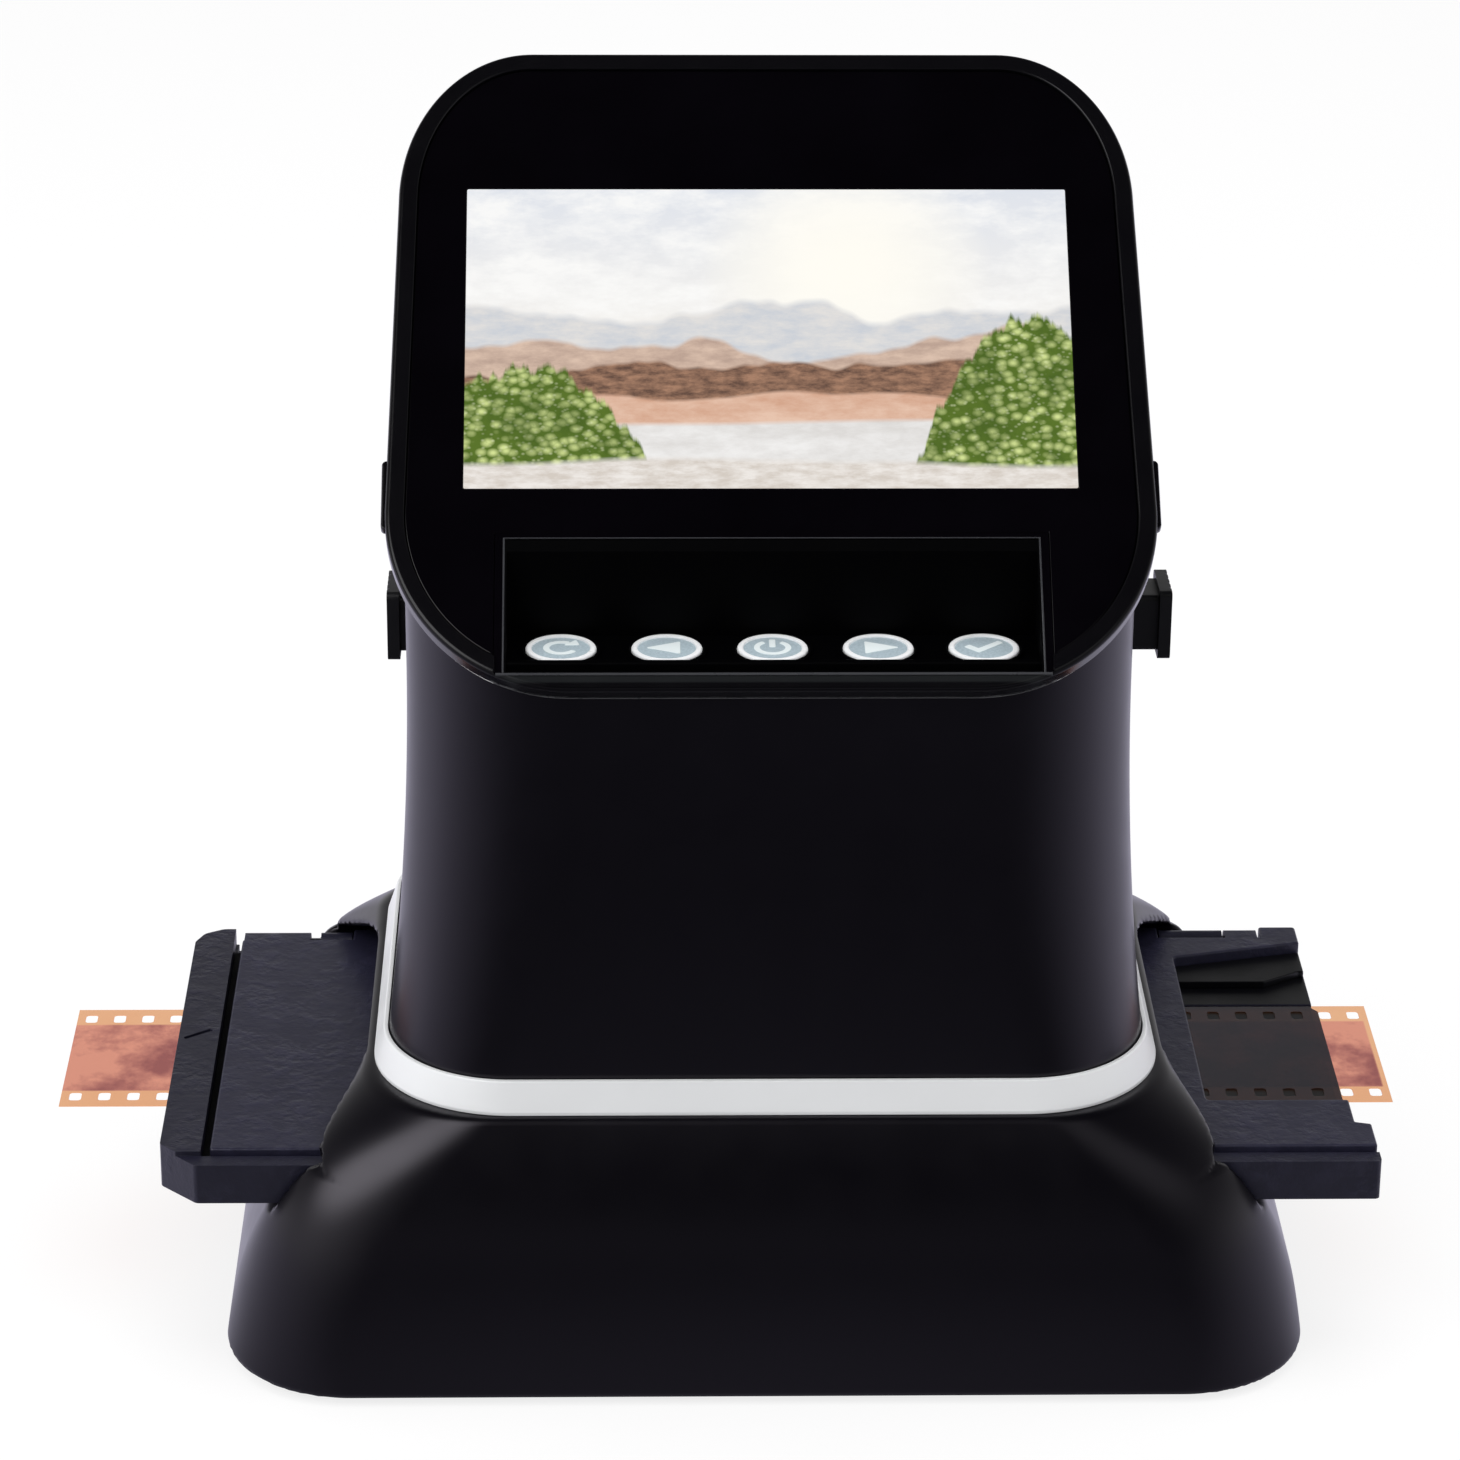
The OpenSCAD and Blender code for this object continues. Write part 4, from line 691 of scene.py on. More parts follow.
def column_half(name, rear):
    """One shell: rings with a seam chamfer up to the taper's top, then on to the slope of the head."""
    sign = 1 if rear else -1
    low = [SKIN_LOW, 48.5, TAPER_LOW]
    low += list(TAPER_LOW + (TAPER_TOP - TAPER_LOW) * np.linspace(0, 1, TAPER_RINGS)[1:])
    rings = []
    for level in range(len(low) + HEAD_RINGS):
        z = low[min(level, len(low) - 1)]
        outer, ends, inner = (half_path(z, inset, rear, SPLIT + sign * gap)
                              for inset, gap in ((0.0, 0.3), (CHAMFER, 0.05), (WALL, 0.05)))
        pts = np.vstack([outer, ends[-1:], inner[::-1], ends[:1]])
        t = max(0, level - len(low) + 1) / HEAD_RINGS
        rings.append(np.column_stack([pts, [mix(z, head_z(y), t) for y in pts[:, 1]]]))
    n, m, k = len(outer), len(rings[0]), len(rings)
    f = [(a * m + i, (a + 1) * m + i, (a + 1) * m + (i + 1) % m, a * m + (i + 1) % m)
         for a in range(k - 1) for i in range(m)]
    for base in (0, (k - 1) * m):
        f += [(base + i, base + i + 1, base + 2 * n - i - 1, base + 2 * n - i) for i in range(n - 1)]
        f += [(base + n - 1, base + n, base + n + 1), (base, base + 2 * n, base + 2 * n + 1)]
    o = mesh(name, np.vstack(rings), f)
    # room for the control recess
    cut(o, box((-42.6, -70, 119.6), (42.6, -29, 165)))
    if rear:
        # card slot and screw holes
        tools = [box((-13.2, 30, 59.4), (13.2, 60, 62.4))]
        tools += [rod("hole", (x, 31, z), (x, 60, z), 2.95, 40) for x in (-42, 42) for z in (84, 150)]
    else:
        # the lens slider's way through
        tools = [along_x("slot", rect(-4.7, 107.4, 4.7, 117.4, 0.8), -90, 90)]
    # a shallow recess on each side, with the opening for its socket
    for side, d, h in ((-1, 3.4, 4.7), (1, 3.8, 5.8)):
        tools.append(along_x("port", rect(PORT_Y - 10, PORT_Z - 5.5, PORT_Y + 10, PORT_Z + 5.5, 5.4, 12),
                             58.2 * side, 70 * side))
        x0, x1 = sorted((50 * side, 70 * side))
        tools.append(box((x0, 11 - d, PORT_Z - h), (x1, 11.2, PORT_Z + h)))
    return cut(o, *tools)


for end in ("front", "rear"):
    dress(column_half(f"column_{end}_skin", end == "rear"), M["housing"],
          swaps=[f"column_{end}_shell"])


# ---------- base skirt ----------

def smax(a, b, k):
    h = np.maximum(k - np.abs(a - b), 0) / k
    return np.maximum(a, b) + h * h * k * 0.25


def corner_rect(x, y, w, front, back, rx, ry):
    """Distance, nearly, to a rectangle with elliptical corners, and how far its normal points along x."""
    cy, hy = (back - front) / 2, (back + front) / 2
    qx, qy = np.abs(x) - (w - rx), np.abs(y - cy) - (hy - ry)
    px, py = np.maximum(qx, 1e-6), np.maximum(qy, 0)
    nx, ny = px / rx ** 2, py / ry ** 2
    g = np.hypot(px / rx, py / ry)
    d = np.where((qx > 0) & (qy > 0), (g - 1) * g / np.hypot(nx, ny), np.maximum(qx - rx, qy - ry))
    return d, nx ** 2 / (nx ** 2 + ny ** 2)


# the skirt at its top edge, how much further out it stands at the floor, and the height it flares over
SKIRT_HALF, SKIRT_FRONT, SKIRT_BACK = 63.2, 46.3, 44.0
FLARE_HALF, FLARE_FRONT, FLARE_BACK, FLARE_MEAN = 24.2, 11.2, 13.5, 12.3
FLARE_TOP, FLARE_HIGH, FLARE_LINEAR, FLARE_POWER = 46.6, 45.6, 0.28, 2.9
# the tunnel's half width, floor, the height where its walls turn in, and its roof
TUNNEL_HALF, TUNNEL_LOW, TUNNEL_SPRING, TUNNEL_TOP = 43.0, 28.1, 36.6, 44.6


def skirt_field(p):
    """Signed distance, nearly, to the flared skirt: a shell with the tunnel's soft mouths."""
    x, y, z = np.abs(p[:, 0]), p[:, 1], p[:, 2]
    t = np.clip((FLARE_TOP - z) / FLARE_HIGH, 0, 1.1)
    rest = np.clip(1 - t, 0, 1)
    curved = 1 - FLARE_LINEAR
    f = FLARE_LINEAR * t + curved * (1 - rest ** FLARE_POWER)
    slope = (FLARE_LINEAR + curved * FLARE_POWER * rest ** (FLARE_POWER - 1)) / FLARE_HIGH
    up = np.clip(z / SKIRT_TOP, 0, 1)
    rx = 21.0 - np.where(y > 0, 8.0 * up ** 2, 0)
    d, share = corner_rect(x, y, SKIRT_HALF + FLARE_HALF * f, SKIRT_FRONT + FLARE_FRONT * f,
                           SKIRT_BACK + FLARE_BACK * f, rx, rx - 9.0 * np.sin(math.pi * up ** 2.4))
    outer = d / np.sqrt(1 + slope ** 2 * (FLARE_HALF ** 2 * share + FLARE_MEAN ** 2 * (1 - share)))
    beside, above = np.abs(y) - TUNNEL_HALF, z - TUNNEL_SPRING
    low = smax(beside, above, 0.6)
    high = smax((beside * 8.0 + above * 17.0) / 18.79, z - TUNNEL_TOP, 3.0)
    tun = smax(-smax(-low, -np.maximum(high, 36.3 - z), 0.6), TUNNEL_LOW - z, 0.8)
    # the wall is thicker round the mouths
    lip = np.clip(1 - np.maximum(tun, 0) / 9.0, 0, 1) * np.clip((x - 62) / 6, 0, 1)
    wall = WALL + 3.2 * lip * lip * (3 - 2 * lip)
    cavity = np.maximum(outer + wall, z - 41.8)
    opening = corner_rect(x, y, 51.2, 34.3, 32.0, 1.0, 1.0)[0]
    body = smax(outer, -np.maximum(tun, 51.0 - x), 1.5)
    body = smax(smax(body, -cavity, 0.8), -opening, 0.8)
    return smax(smax(body, 1.0 - z, 1.6), z - SKIRT_TOP, 0.8)


def neighbours(grid, axis):
    """A grid without its last layer along an axis, and without its first."""
    n = grid.shape[axis]
    return grid.take(range(n - 1), axis), grid.take(range(1, n), axis)


def gradient(field, v, step):
    return np.stack([(field(v + e) - field(v - e)) / (2 * step) for e in np.eye(3) * step], 1)


def surface_net(field, low, high, h):
    """Points, quads and normals on the zero surface of a field, with one point in each cell it crosses."""
    axes = [np.arange(a, b + h, h) for a, b in zip(low, high)]
    shape = tuple(len(a) for a in axes)
    grid = np.stack(np.meshgrid(*axes, indexing="ij"), -1).reshape(-1, 3)
    val = np.concatenate([field(c) for c in np.array_split(grid, 12)]).reshape(shape)
    inside = val < 0
    cells = tuple(n - 1 for n in shape)
    total, count = np.zeros(cells + (3,)), np.zeros(cells)
    for axis in range(3):
        other = [a for a in range(3) if a != axis]
        a, b = neighbours(val, axis)
        cross = np.not_equal(*neighbours(inside, axis))
        frac = np.where(cross, a / np.where(cross, a - b, 1), 0)
        for i in (0, 1):
            for j in (0, 1):
                s = [slice(None)] * 3
                s[other[0]], s[other[1]] = slice(i, i + cells[other[0]]), slice(j, j + cells[other[1]])
                c, fr = cross[tuple(s)], frac[tuple(s)]
                count += c
                total[..., axis] += fr * c
                total[..., other[0]] += i * c
                total[..., other[1]] += j * c
    used = count > 0
    index = np.full(cells, -1)
    index[used] = np.arange(used.sum())
    base = np.argwhere(used)
    v = np.array([a[0] for a in axes]) + (base + total[used] / count[used][:, None]) * h
    quads = []
    for axis in range(3):
        u, w = (axis + 1) % 3, (axis + 2) % 3
        a, b = neighbours(inside, axis)
        at = np.argwhere(a != b)
        at = at[(at[:, u] > 0) & (at[:, w] > 0) & (at[:, u] < cells[u]) & (at[:, w] < cells[w])]
        du, dw = np.eye(3, dtype=int)[u], np.eye(3, dtype=int)[w]
        q = np.stack([index[tuple((at - i * du - j * dw).T)] for i, j in ((1, 1), (0, 1), (0, 0), (1, 0))], 1)
        flip = ~a[tuple(at.T)]
        q[flip] = q[flip][:, ::-1]
        quads.append(q)
    q = np.vstack(quads)
    q = q[(q >= 0).all(1)]
    # a few steps bring the points onto the surface
    for _ in range(4):
        g = gradient(field, v, 0.1)
        step = field(v)[:, None] * g / np.maximum((g * g).sum(1), 1e-3)[:, None]
        v = v - np.clip(step, -0.4 * h, 0.4 * h)
    g = gradient(field, v, 0.15)
    return v, q, g / np.maximum(np.linalg.norm(g, axis=1), 1e-6)[:, None]


v, q, normals = surface_net(skirt_field, (-89.1, -59.2, 0.1), (89.1, 59.2, 47.0), 0.9)
skirt = mesh("base_skirt_skin", v, q, angle=None, fix=False)
if len(skirt.data.vertices) == len(normals):
    skirt.data.normals_split_custom_set_from_vertices([tuple(k) for k in normals])
dress(skirt, M["housing"], swaps=["base_skirt"])


# ---------- silver band ----------

band_profile = fillet([(-2.5, SKIN_LOW), (-2.5, 46.4), (-0.9, 51.15), (-0.2, 51.15), (-0.2, SKIN_LOW)],
                      [0.1, 0.5, 0.35, 0.1, 0.1], 4)
band = ring("silver_band_skin", lambda i: column_outline(SKIRT_TOP, i, steps=40), band_profile)
dress(band, M["silver"], swaps=["silver_band"])


# ---------- head ----------

# heights over the face: the rim's lower edge and the glass's; the display's half width and half height
RIM_LOW, GLASS_LOW = -2.6, -1.3
SCREEN_W, SCREEN_H = 47.52, 26.93
# the control recess in the face: half width, lower and upper edge, and its lining's half width
RECESS_HALF, RECESS_LOW, RECESS_TOP = 42.4, -58.9, -34.8
POCKET_HALF = 42.2


def face_ring(name, profile):
    return ring(name, lambda i: face_outline(i, steps=40), profile, face=True)


def recess_ring(name, profile):
    """A profile along the recess's sides and upper edge, open at the lip."""
    o = ring(name, lambda i: rect(i - RECESS_HALF, -64.0, RECESS_HALF - i, RECESS_TOP - 0.6 * i), profile, face=True)
    return cut(o, box((-50, -70, -9), (50, RECESS_LOW, 9), face=True))


trim_profile = fillet([(0.42, -3.98), (0.42, -2.62), (5.6, -2.62), (5.6, -3.98)], [0.45, 0.25, 0.1, 0.1], 4)
trim = face_ring("head_trim_skin", trim_profile)
side = RECESS_HALF + 0.2
cut(trim, box((-side, -80, -6), (side, -41.5, 0), face=True))
dress(trim, M["bright"], swaps=["head_trim"])

rim_profile = fillet([(0.0, RIM_LOW), (0.0, 0.5), (3.0, 0.5), (3.0, GLASS_LOW), (6.2, GLASS_LOW), (6.2, RIM_LOW)],
                     [0.25, 0.85, 0.3, 0.05, 0.1, 0.1], 5)
bezel = face_ring("head_bezel_skin", rim_profile)
cut(bezel, box((-RECESS_HALF, RECESS_LOW, -5), (RECESS_HALF, RECESS_TOP, 3), face=True))
bevel(bezel, 0.22, 2, 60)
for s in (-1, 1):
    pts = fillet([(s * 56.6, -33.6), (s * 60.1, -33.6), (s * 60.1, -21.7), (s * 56.6, -21.7)], [0, 0.7, 0.7, 0], 4)
    cut(bezel, bevel(prism("lug", pts, RIM_LOW, -0.6, face=True), 0.3, 2), op="UNION")
dress(bezel, M["bezel"], swaps=["head_bezel"])

glass = prism("cover_glass_skin", face_outline(3.2, steps=40), GLASS_LOW, 0.0, face=True)
cut(glass, box((-SCREEN_W, -SCREEN_H, -3), (SCREEN_W, SCREEN_H, 2), face=True),
    box((-side, -61.7, -3), (side, -34.6, 2), face=True))
bevel(glass, 0.12, 2, 60)
dress(glass, M["glass"], swaps=["display_glass"])

# narrow edge round the control recess, flush with the glass, with a fine bead on it; the beads and the lip's lower
# edge are painted grey as highlights
frame_line = fillet([(-0.1, -1.2), (-0.1, 0.05), (1.35, 0.05), (1.35, -1.2)], [0, 0, 0.3, 0], 5)
dress(recess_ring("recess_frame", frame_line), M["glass"])
bead = recess_ring("frame_bead", fillet([(1.12, -0.2), (1.12, 0.09), (1.42, 0.09), (1.42, -0.2)], [0, 0.1, 0.1, 0], 3))
lip_top = prism("lip_bead", rect(-POCKET_HALF, -59.25, POCKET_HALF, -58.86), 0.2, 0.64, face=True)
lip_edge = face_ring("lip_edge", fillet([(0.0, -2.58), (0.0, -1.75), (0.3, -1.75), (0.3, -2.58)], 0.08, 3))
cut(lip_edge, box((-43, -80, -9), (43, -50, 9), face=True), op="INTERSECT")
# painted highlights: the beads in one grey, the lip's lower edge in a lighter grey
for o in (bead, lip_top, lip_edge):
    dress(o, M["line" if o is lip_edge else "edge"])


# ---------- controls ----------

# height, row and pitch of the buttons; the shelf's top, underside, half width and back wall
BUTTON_Z, BUTTON_Y, PITCH = 122.1, -37.1, 16.2
BUTTON_AT = [((i - 2) * PITCH, BUTTON_Y) for i in range(5)]
SHELF, SHELF_LOW, SHELF_HALF, SHELF_BACK = 121.3, 119.8, 40.7, -30.7


def arc_band(r0, r1, a, b, n=28):
    t = np.radians(np.linspace(a, b, n))
    return [(r1 * math.cos(k), r1 * math.sin(k)) for k in t] + [(r0 * math.cos(k), r0 * math.sin(k)) for k in t[::-1]]


def join(name, parts):
    """One object out of several, in order."""
    bm = bmesh.new()
    for o in parts:
        bm.from_mesh(o.data)
    me = bpy.data.meshes.new(name)
    bm.to_mesh(me)
    bm.free()
    for o in parts:
        bpy.data.objects.remove(o)
    shade(me, SHARP)
    return linked(name, me)


SYMBOLS = {
    "mode": [arc_band(1.45, 2.25, 60, 330), [(0.2, 0.75), (2.35, 0.9), (1.9, 2.6)]],
    "left": [[(-2.7, 0), (1.7, -2.0), (1.7, 2.0)]],
    "power": [arc_band(1.6, 2.35, 122, 418), [(-0.4, 0.1), (0.4, 0.1), (0.4, 2.6), (-0.4, 2.6)]],
    "right": [[(2.7, 0), (-1.7, 2.0), (-1.7, -2.0)]],
    "confirm": [[(-2.5, 0.15), (-1.75, 0.85), (-0.7, -0.35), (1.9, 2.1), (2.55, 1.4), (-0.7, -1.75)]],
}
rim_line = fillet([(5.45, 118.7), (5.45, BUTTON_Z), (4.55, BUTTON_Z), (4.45, BUTTON_Z - 0.34),
                   (4.1, BUTTON_Z - 0.34), (4.1, 118.7)], [0.1, 0.42, 0.2, 0, 0, 0], 5)
dome = [(0.02, BUTTON_Z - 0.16), (1.6, BUTTON_Z - 0.17), (3.0, BUTTON_Z - 0.2), (4.0, BUTTON_Z - 0.26),
        (4.5, BUTTON_Z - 0.33), (4.5, 119.4), (0.02, 119.4)]
for at, (key, shapes) in zip(BUTTON_AT, SYMBOLS.items()):
    body = key + "_key"
    cap = turned(key + "_button_rim", rim_line, at, 96, closed=True)
    ears = box((at[0] - 6.65, at[1] - 2, 118.6), (at[0] + 6.65, at[1] + 2, 119.5))
    stem = turned("stem", [(1.5, 117.0), (1.5, 118.7)], at, 32)
    dress(join(key + "_button_rim", [cap, ears, stem]), M["rim"], body, [key + "_button"])
    dress(turned(key + "_button_face", dome, at, 96), M["button"], body)
    marks = []
    for shape in shapes:
        mark = prism("mark", fillet(np.array(shape) * 1.22 + np.array(at), 0.2, 3), BUTTON_Z - 0.4, BUTTON_Z - 0.1)
        marks.append(bevel(mark, 0.05, 2))
    dress(join(key + "_button_symbol", marks), M["mark"], body)


def wedge(half, low, back):
    return along_x("wedge", [(-63.9, low), (back, low), (back, FACE_Z), (-63.9, FACE_Z)], -half, half)


def recess():
    """Shelf, back wall and side walls behind the face, with a flange under the rim and a hole for each button."""
    o = cut(wedge(POCKET_HALF, SHELF_LOW, -29.2), wedge(SHELF_HALF, SHELF, SHELF_BACK))
    cut(o, box((-POCKET_HALF, -58.7, -30), (POCKET_HALF, -35.0, 0), face=True), op="INTERSECT")
    plate = box((-45.2, -46, -4.1), (45.2, RECESS_TOP, RIM_LOW), face=True)
    cut(o, cut(plate, wedge(SHELF_HALF, 112.3, SHELF_BACK)), op="UNION")
    return cut(o, *[turned("hole", [(5.65, 117), (5.65, 125)], at) for at in BUTTON_AT])


dress(recess(), M["recess"], swaps=["control_panel"])
collar_line = fillet([(5.67, 121.2), (6.15, 121.2), (6.15, 121.85), (5.67, 121.85)], [0, 0, 0.15, 0.1], 3)
dress(join("button_collars", [turned("collar", collar_line, at, closed=True) for at in BUTTON_AT]),
      M["recess"])
ridge_line = fillet([(-44.7, 120.9), (-43.1, 120.9), (-43.1, 122.6), (-44.7, 122.6)], [0, 0, 0.5, 0.35], 5)
dress(along_x("shelf_ridge", ridge_line, -SHELF_HALF, SHELF_HALF), M["recess"])


def picture_material():
    """A made-up landscape: bright sky, hazy hills, sand, a lake and bushes."""
    m = Nodes("lit_picture")
    sep = m.new("ShaderNodeSeparateXYZ", Vector=m.coord).outputs
    # u runs 0 to 1 from left to right and v from the lower to the upper edge
    wide, high = 2 * SCREEN_W * MM, 2 * SCREEN_H * MM
    u = m.math("ADD", m.math("DIVIDE", sep[0], wide), 0.5)
    up = m.math("ADD", m.math("MULTIPLY", sep[1], CT), m.math("MULTIPLY", sep[2], ST))
    v = m.math("ADD", m.math("DIVIDE", m.math("SUBTRACT", up, FACE_UP), high), 0.5)

    def wave(freq, seed, detail=3.0):
        """A line that rises and falls along u, round zero."""
        c = m.new("ShaderNodeCombineXYZ", X=m.math("MULTIPLY", u, freq), Y=seed, Z=0.0).outputs[0]
        return m.math("SUBTRACT", m.new("ShaderNodeTexNoise", Vector=c, Scale=1.0, Detail=detail,
                                        Roughness=0.5).outputs["Fac"], 0.5)

    def below(height, soft):
        return m.remap(m.math("SUBTRACT", height, v), 0, 1, -soft, soft)

    def place(scale, stretch, seed):
        """A point for a texture with as much detail along u as along v; 1.76 is the picture's aspect."""
        return m.new("ShaderNodeCombineXYZ", X=m.math("MULTIPLY", u, scale * 1.76),
                     Y=m.math("MULTIPLY", v, scale * stretch), Z=seed).outputs[0]

    def spots(scale, seed, stretch=1.0):
        return m.new("ShaderNodeTexNoise", Vector=place(scale, stretch, seed), Scale=1.0, Detail=6.0,
                     Roughness=0.68).outputs["Fac"]

    def leaves(scale, seed):
        return m.new("ShaderNodeTexVoronoi", Vector=place(scale, 1.3, seed), Scale=1.0).outputs["Distance"]

    sky = m.blend(m.remap(v, 0, 1, 0.45, 1.0), (0.93, 0.90, 0.85), (0.74, 0.77, 0.83))
    sky = m.blend(m.remap(spots(3.2, 3.3, 2.2), 0, 0.85, 0.42, 0.62), sky, (0.97, 0.965, 0.95))
    glow = m.math("ADD", m.math("POWER", m.math("SUBTRACT", u, 0.63), 2.0),
                  m.math("MULTIPLY", m.math("POWER", m.math("SUBTRACT", v, 0.74), 2.0), 0.42))
    sky = m.blend(m.remap(glow, 1, 0, 0.0, 0.06), sky, (1.0, 0.975, 0.90))
    layers = [
        (m.math("MULTIPLY_ADD", wave(4.0, 1.7), 0.28, 0.585), (0.60, 0.63, 0.68), (0.76, 0.74, 0.72), 8, 0.012),
        (m.math("MULTIPLY_ADD", wave(3.0, 7.1), 0.46, 0.47), (0.50, 0.36, 0.29), (0.71, 0.53, 0.42), 9, 0.008),
        (m.math("MULTIPLY_ADD", wave(3.4, 4.4), 0.42, 0.385), (0.125, 0.07, 0.05), (0.40, 0.22, 0.14), 16, 0.006),
        (m.math("MULTIPLY_ADD", wave(2.2, 9.2, 2.0), 0.22, 0.30), (0.66, 0.38, 0.26), (0.80, 0.55, 0.42), 6, 0.006),
        (m.math("MULTIPLY_ADD", wave(1.4, 2.2, 1.0), 0.08, 0.215), (0.72, 0.70, 0.68), (0.88, 0.87, 0.86), 5, 0.008),
    ]
    col = sky
    for i, (h, dark, light, scale, soft) in enumerate(layers):
        tone = m.blend(m.remap(spots(scale, 11.0 + i, 2.5), 0, 1, 0.36, 0.64), dark, light)
        col = m.blend(below(h, soft), col, tone)

    def bush(cu, width, top, col, seed):
        """Paints a bush with its middle at cu over col."""
        lean = m.math("DIVIDE", m.math("SUBTRACT", u, cu), width)
        h = m.math("SUBTRACT", top, m.math("MULTIPLY", m.math("POWER", lean, 2.0), 0.22))
        h = m.math("ADD", h, m.math("MULTIPLY", wave(46.0, seed, 5.0), 0.17))
        leaf = m.blend(m.remap(leaves(30, seed), 0, 1, 0.12, 0.62), (0.66, 0.76, 0.30), (0.10, 0.17, 0.02))
        leaf = m.blend(m.remap(leaves(54, seed + 4), 0.45, 0, 0.05, 0.38), leaf, (0.80, 0.86, 0.52))
        leaf = m.blend(m.remap(spots(7, seed + 8), 0, 0.6, 0.42, 0.62), leaf, (0.05, 0.10, 0.012))
        return m.blend(below(h, 0.01), col, leaf)

    col = bush(0.10, 0.17, 0.40, col, 21.3)
    col = bush(0.93, 0.13, 0.56, col, 33.9)
    sand = m.math("MULTIPLY_ADD", wave(1.7, 5.9, 2.0), 0.10, 0.085)
    col = m.blend(below(sand, 0.01), col, m.blend(m.remap(spots(14, 8.8, 3.0), 0, 1, 0.36, 0.64), (0.66, 0.60, 0.54),
                                                  (0.86, 0.82, 0.78)))
    m.set(Base_Color=(0.004, 0.004, 0.005, 1), Emission_Color=col, Emission_Strength=1.0, IOR=1.45,
          Roughness=m.remap(m.noise(90, 4), 0.04, 0.08))
    return m.mat


M["picture"] = picture_material()
panel = prism("lit_picture", rect(-47.46, -26.87, 47.46, 26.87, 0.25, 3), -0.6, -0.03, face=True)
dress(bevel(panel, 0.05, 2), M["picture"])


# ---------- lens slider ----------

def knob(side, start, plate, end):
    """A stem from start to plate, with a grooved finger plate from there to end."""
    stem = along_x("stem", rect(-4.4, 107.7, 4.4, 117.1, 0.9), *sorted((side * start, side * plate)))
    head = along_x("head", rect(-5.5, 106.6, 5.5, 118.2, 1.0), *sorted((side * (plate - 0.01), side * end)))
    x = side * (end + 0.25)
    cut(head, *[rod("groove", (x, y, 100), (x, y, 125), 0.55, 20) for y in (-3, -1, 1, 3)])
    return cut(bevel(head, 0.35, 3, 50), stem, op="UNION")


for label, *sizes in (("left", -1, 14.0, 58.5, 60.5), ("right", 1, 19.5, 62.8, 64.8)):
    o = knob(*sizes)
    o.name = "slider_grip_" + label
    dress(o, M["slider"], "lens_slider", ["slider_knob_" + label])


# ---------- film holder ----------

HOLDER = [(-97, -36.5), (-91, -42.5), (98, -42.5), (98, -31), (95.3, -30.3), (95.3, 16), (94.4, 17.2), (94.4, 42.5),
          (-92.4, 42.5), (-95.6, 40.7), (-97, 37.5)]
HOLDER_R = [1.2, 1.2, 0.8, 0.5, 0.5, 0.4, 0.4, 0.8, 2.2, 2.2, 2.2]
LID = [(-88.9, -38.4), (97.8, -38.4), (97.8, -31), (95.2, -30.3), (95.2, -22.6), (72, -22.6), (72, 30.4), (94.4, 35.9),
       (94.4, 42.3), (-88.9, 42.3)]
LID_R = [0.6, 0.5, 0.4, 0.4, 0.4, 0.8, 0.8, 0.5, 0.6, 0.6]
# the bays the hinges lie in, and the pins' place
BAYS = [(-89.8, -69.8), (70.2, 88.0)]
PIN_Y, PIN_Z = 40.5, 34.5
# underside, split between frame and lid, and top; the film's floor and half width of its channel
HOLDER_LOW, LID_LOW, HOLDER_TOP = 28.6, 33.2, 36.2
TRACK_LOW, TRACK_HALF = 32.8, 17.7


def openings():
    """Tools for the hinges' bays and the light window, for the frame and the lid alike."""
    return [box((a, 38.3, 32.0), (b, 43.5, 37.2)) for a, b in BAYS] + [
        prism("window", rect(-19, -12.8, 19, 12.8, 0.6), 20, 40)]


def knuckle(x0, x1, to_frame):
    barrel = rod("barrel", (x0, PIN_Y, PIN_Z), (x1, PIN_Y, PIN_Z), 1.7)
    arm = box((x0, 38.8, 31.9), (x1, 42.2, PIN_Z)) if to_frame else box((x0, 37.3, 33.6), (x1, PIN_Y, HOLDER_TOP))
    return cut(cut(barrel, arm, op="UNION"), rod("bore", (x0 - 1, PIN_Y, PIN_Z), (x1 + 1, PIN_Y, PIN_Z), 0.85, 20))


def holder_frame():
    o = prism("holder_frame_skin", fillet(HOLDER, HOLDER_R, 5), HOLDER_LOW, HOLDER_TOP)
    cut(o, box((-90.3, -39.3, LID_LOW), (120, 120, 40)), box((-120, -TRACK_HALF, TRACK_LOW), (120, TRACK_HALF, 33.4)),
        box((-120, -60, 35.4), (120, -39.2, 40)), *openings())
    # grip mark on the handle
    mark = prism("mark", fillet([(-2.7, -0.42), (2.7, -0.42), (2.7, 0.42), (-2.7, 0.42)], 0.3, 3), 35.75, 37)
    mark.data.transform(Matrix.Translation((-93.8 * MM, 2.2 * MM, 0)) @ Matrix.Rotation(math.radians(36), 4, "Z"))
    cut(o, mark)
    bevel(o, 0.42, 3, 40)
    # sloping way in for the film
    entry = prism("entry", [(72.2, 24), (87, 24), (93.4, 28), (94.3, 28), (94.3, 35.6), (72.2, 30.2)], 33.1, 34.5)
    cut(o, bevel(entry, 0.25, 2), op="UNION")
    for a, b in ((-75.4, -70.0), (70.4, 81.4)):
        cut(o, knuckle(a, b, True), op="UNION")
    return o


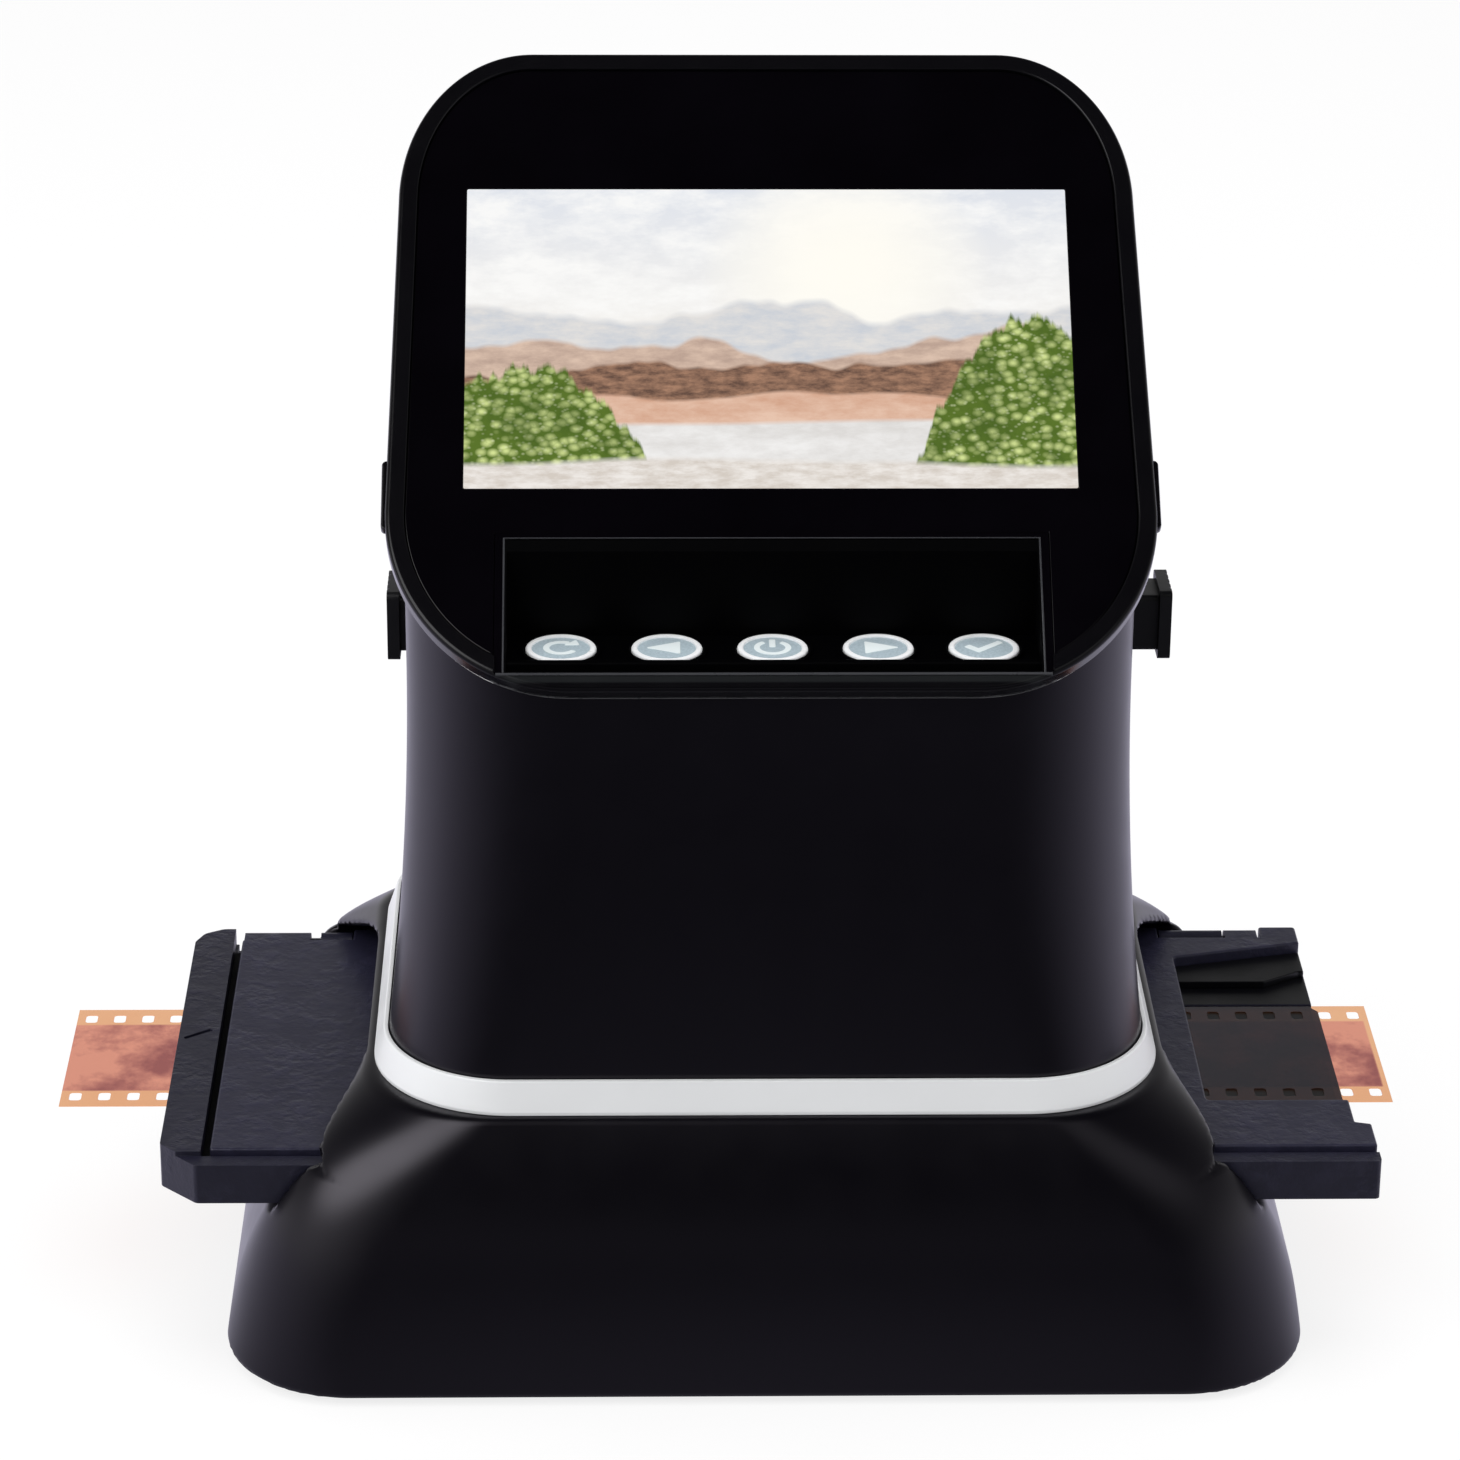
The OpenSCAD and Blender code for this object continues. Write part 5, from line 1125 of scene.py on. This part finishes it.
def holder_lid():
    o = prism("holder_lid_skin", fillet(LID, LID_R), LID_LOW, HOLDER_TOP)
    cut(o, *openings())
    bevel(o, 0.5, 3, 40)
    for a, b in ((-88.6, -77.2), (81.8, 87.4)):
        cut(o, knuckle(a, b, False), op="UNION")
    return o


lower = dress(holder_frame(), M["frame"], "holder", ["holder_frame"])
# painted shade: the film's way in is darker than the rest, and thin dark sheets lie as shade in its slots under and
# beside the film
lower.data.materials.append(M["dark"])
for p in lower.data.polygons:
    c = p.center / MM
    if c.x > 71 and 17.6 < c.y < 38 and c.z < 35.4 and c.x < 94.2:
        p.material_index = 1
shade_sheets = join("holder_painted_shade_sheets", [box((72.1, y0, z0), (94.2, y1, z1)) for y0, y1, z0, z1 in (
    (17.9, 37.0, 33.15, 33.24), (-17.6, 17.6, 32.7, 32.84), (-19.2, -17.9, 33.15, 33.24))])
dress(shade_sheets, M["dark"], "holder")
dress(holder_lid(), M["holder"], "holder", ["holder_lid"])
# thin step round the lid's lower edge, painted black as the shade in its groove
step = prism("holder_lid_groove_painted_shade", fillet([(-90.2, -39.2), (97.4, -39.2), (97.4, -37.8), (-88.0, -37.8), (-88.0, 37.6),
                                        (-90.2, 37.6)], 0.1, 2), 33.25, 33.9)
dress(step, M["recess"], "holder")


# ---------- film ----------

def film():
    c = bpy.data.curves.new("film", "CURVE")
    c.dimensions, c.fill_mode, c.extrude = "2D", "BOTH", 0.07 * MM

    def loop(pts):
        s = c.splines.new("POLY")
        s.points.add(len(pts) - 1)
        for p, q in zip(s.points, pts):
            p.co = (q[0] * MM, q[1] * MM, 0, 1)
        s.use_cyclic_u = True

    loop(rect(FILM_LEFT, -FILM_HALF, FILM_RIGHT, FILM_HALF))
    for i in range(HOLES):
        x = FILM_LEFT + (i + 0.5) * HOLE_PITCH
        for y in (-14.09, 14.09):
            loop(rect(x - 0.99, y - 1.4, x + 0.99, y + 1.4, 0.5, 4))
    t = bpy.data.objects.new("film", c)
    me = bpy.data.meshes.new_from_object(t)
    bpy.data.objects.remove(t)
    me.transform(Matrix.Translation((0, 0, 32.97 * MM)))
    shade(me, SHARP)
    return linked("film_strip_skin", me)


dress(film(), M["film"], "film", ["film_strip"])
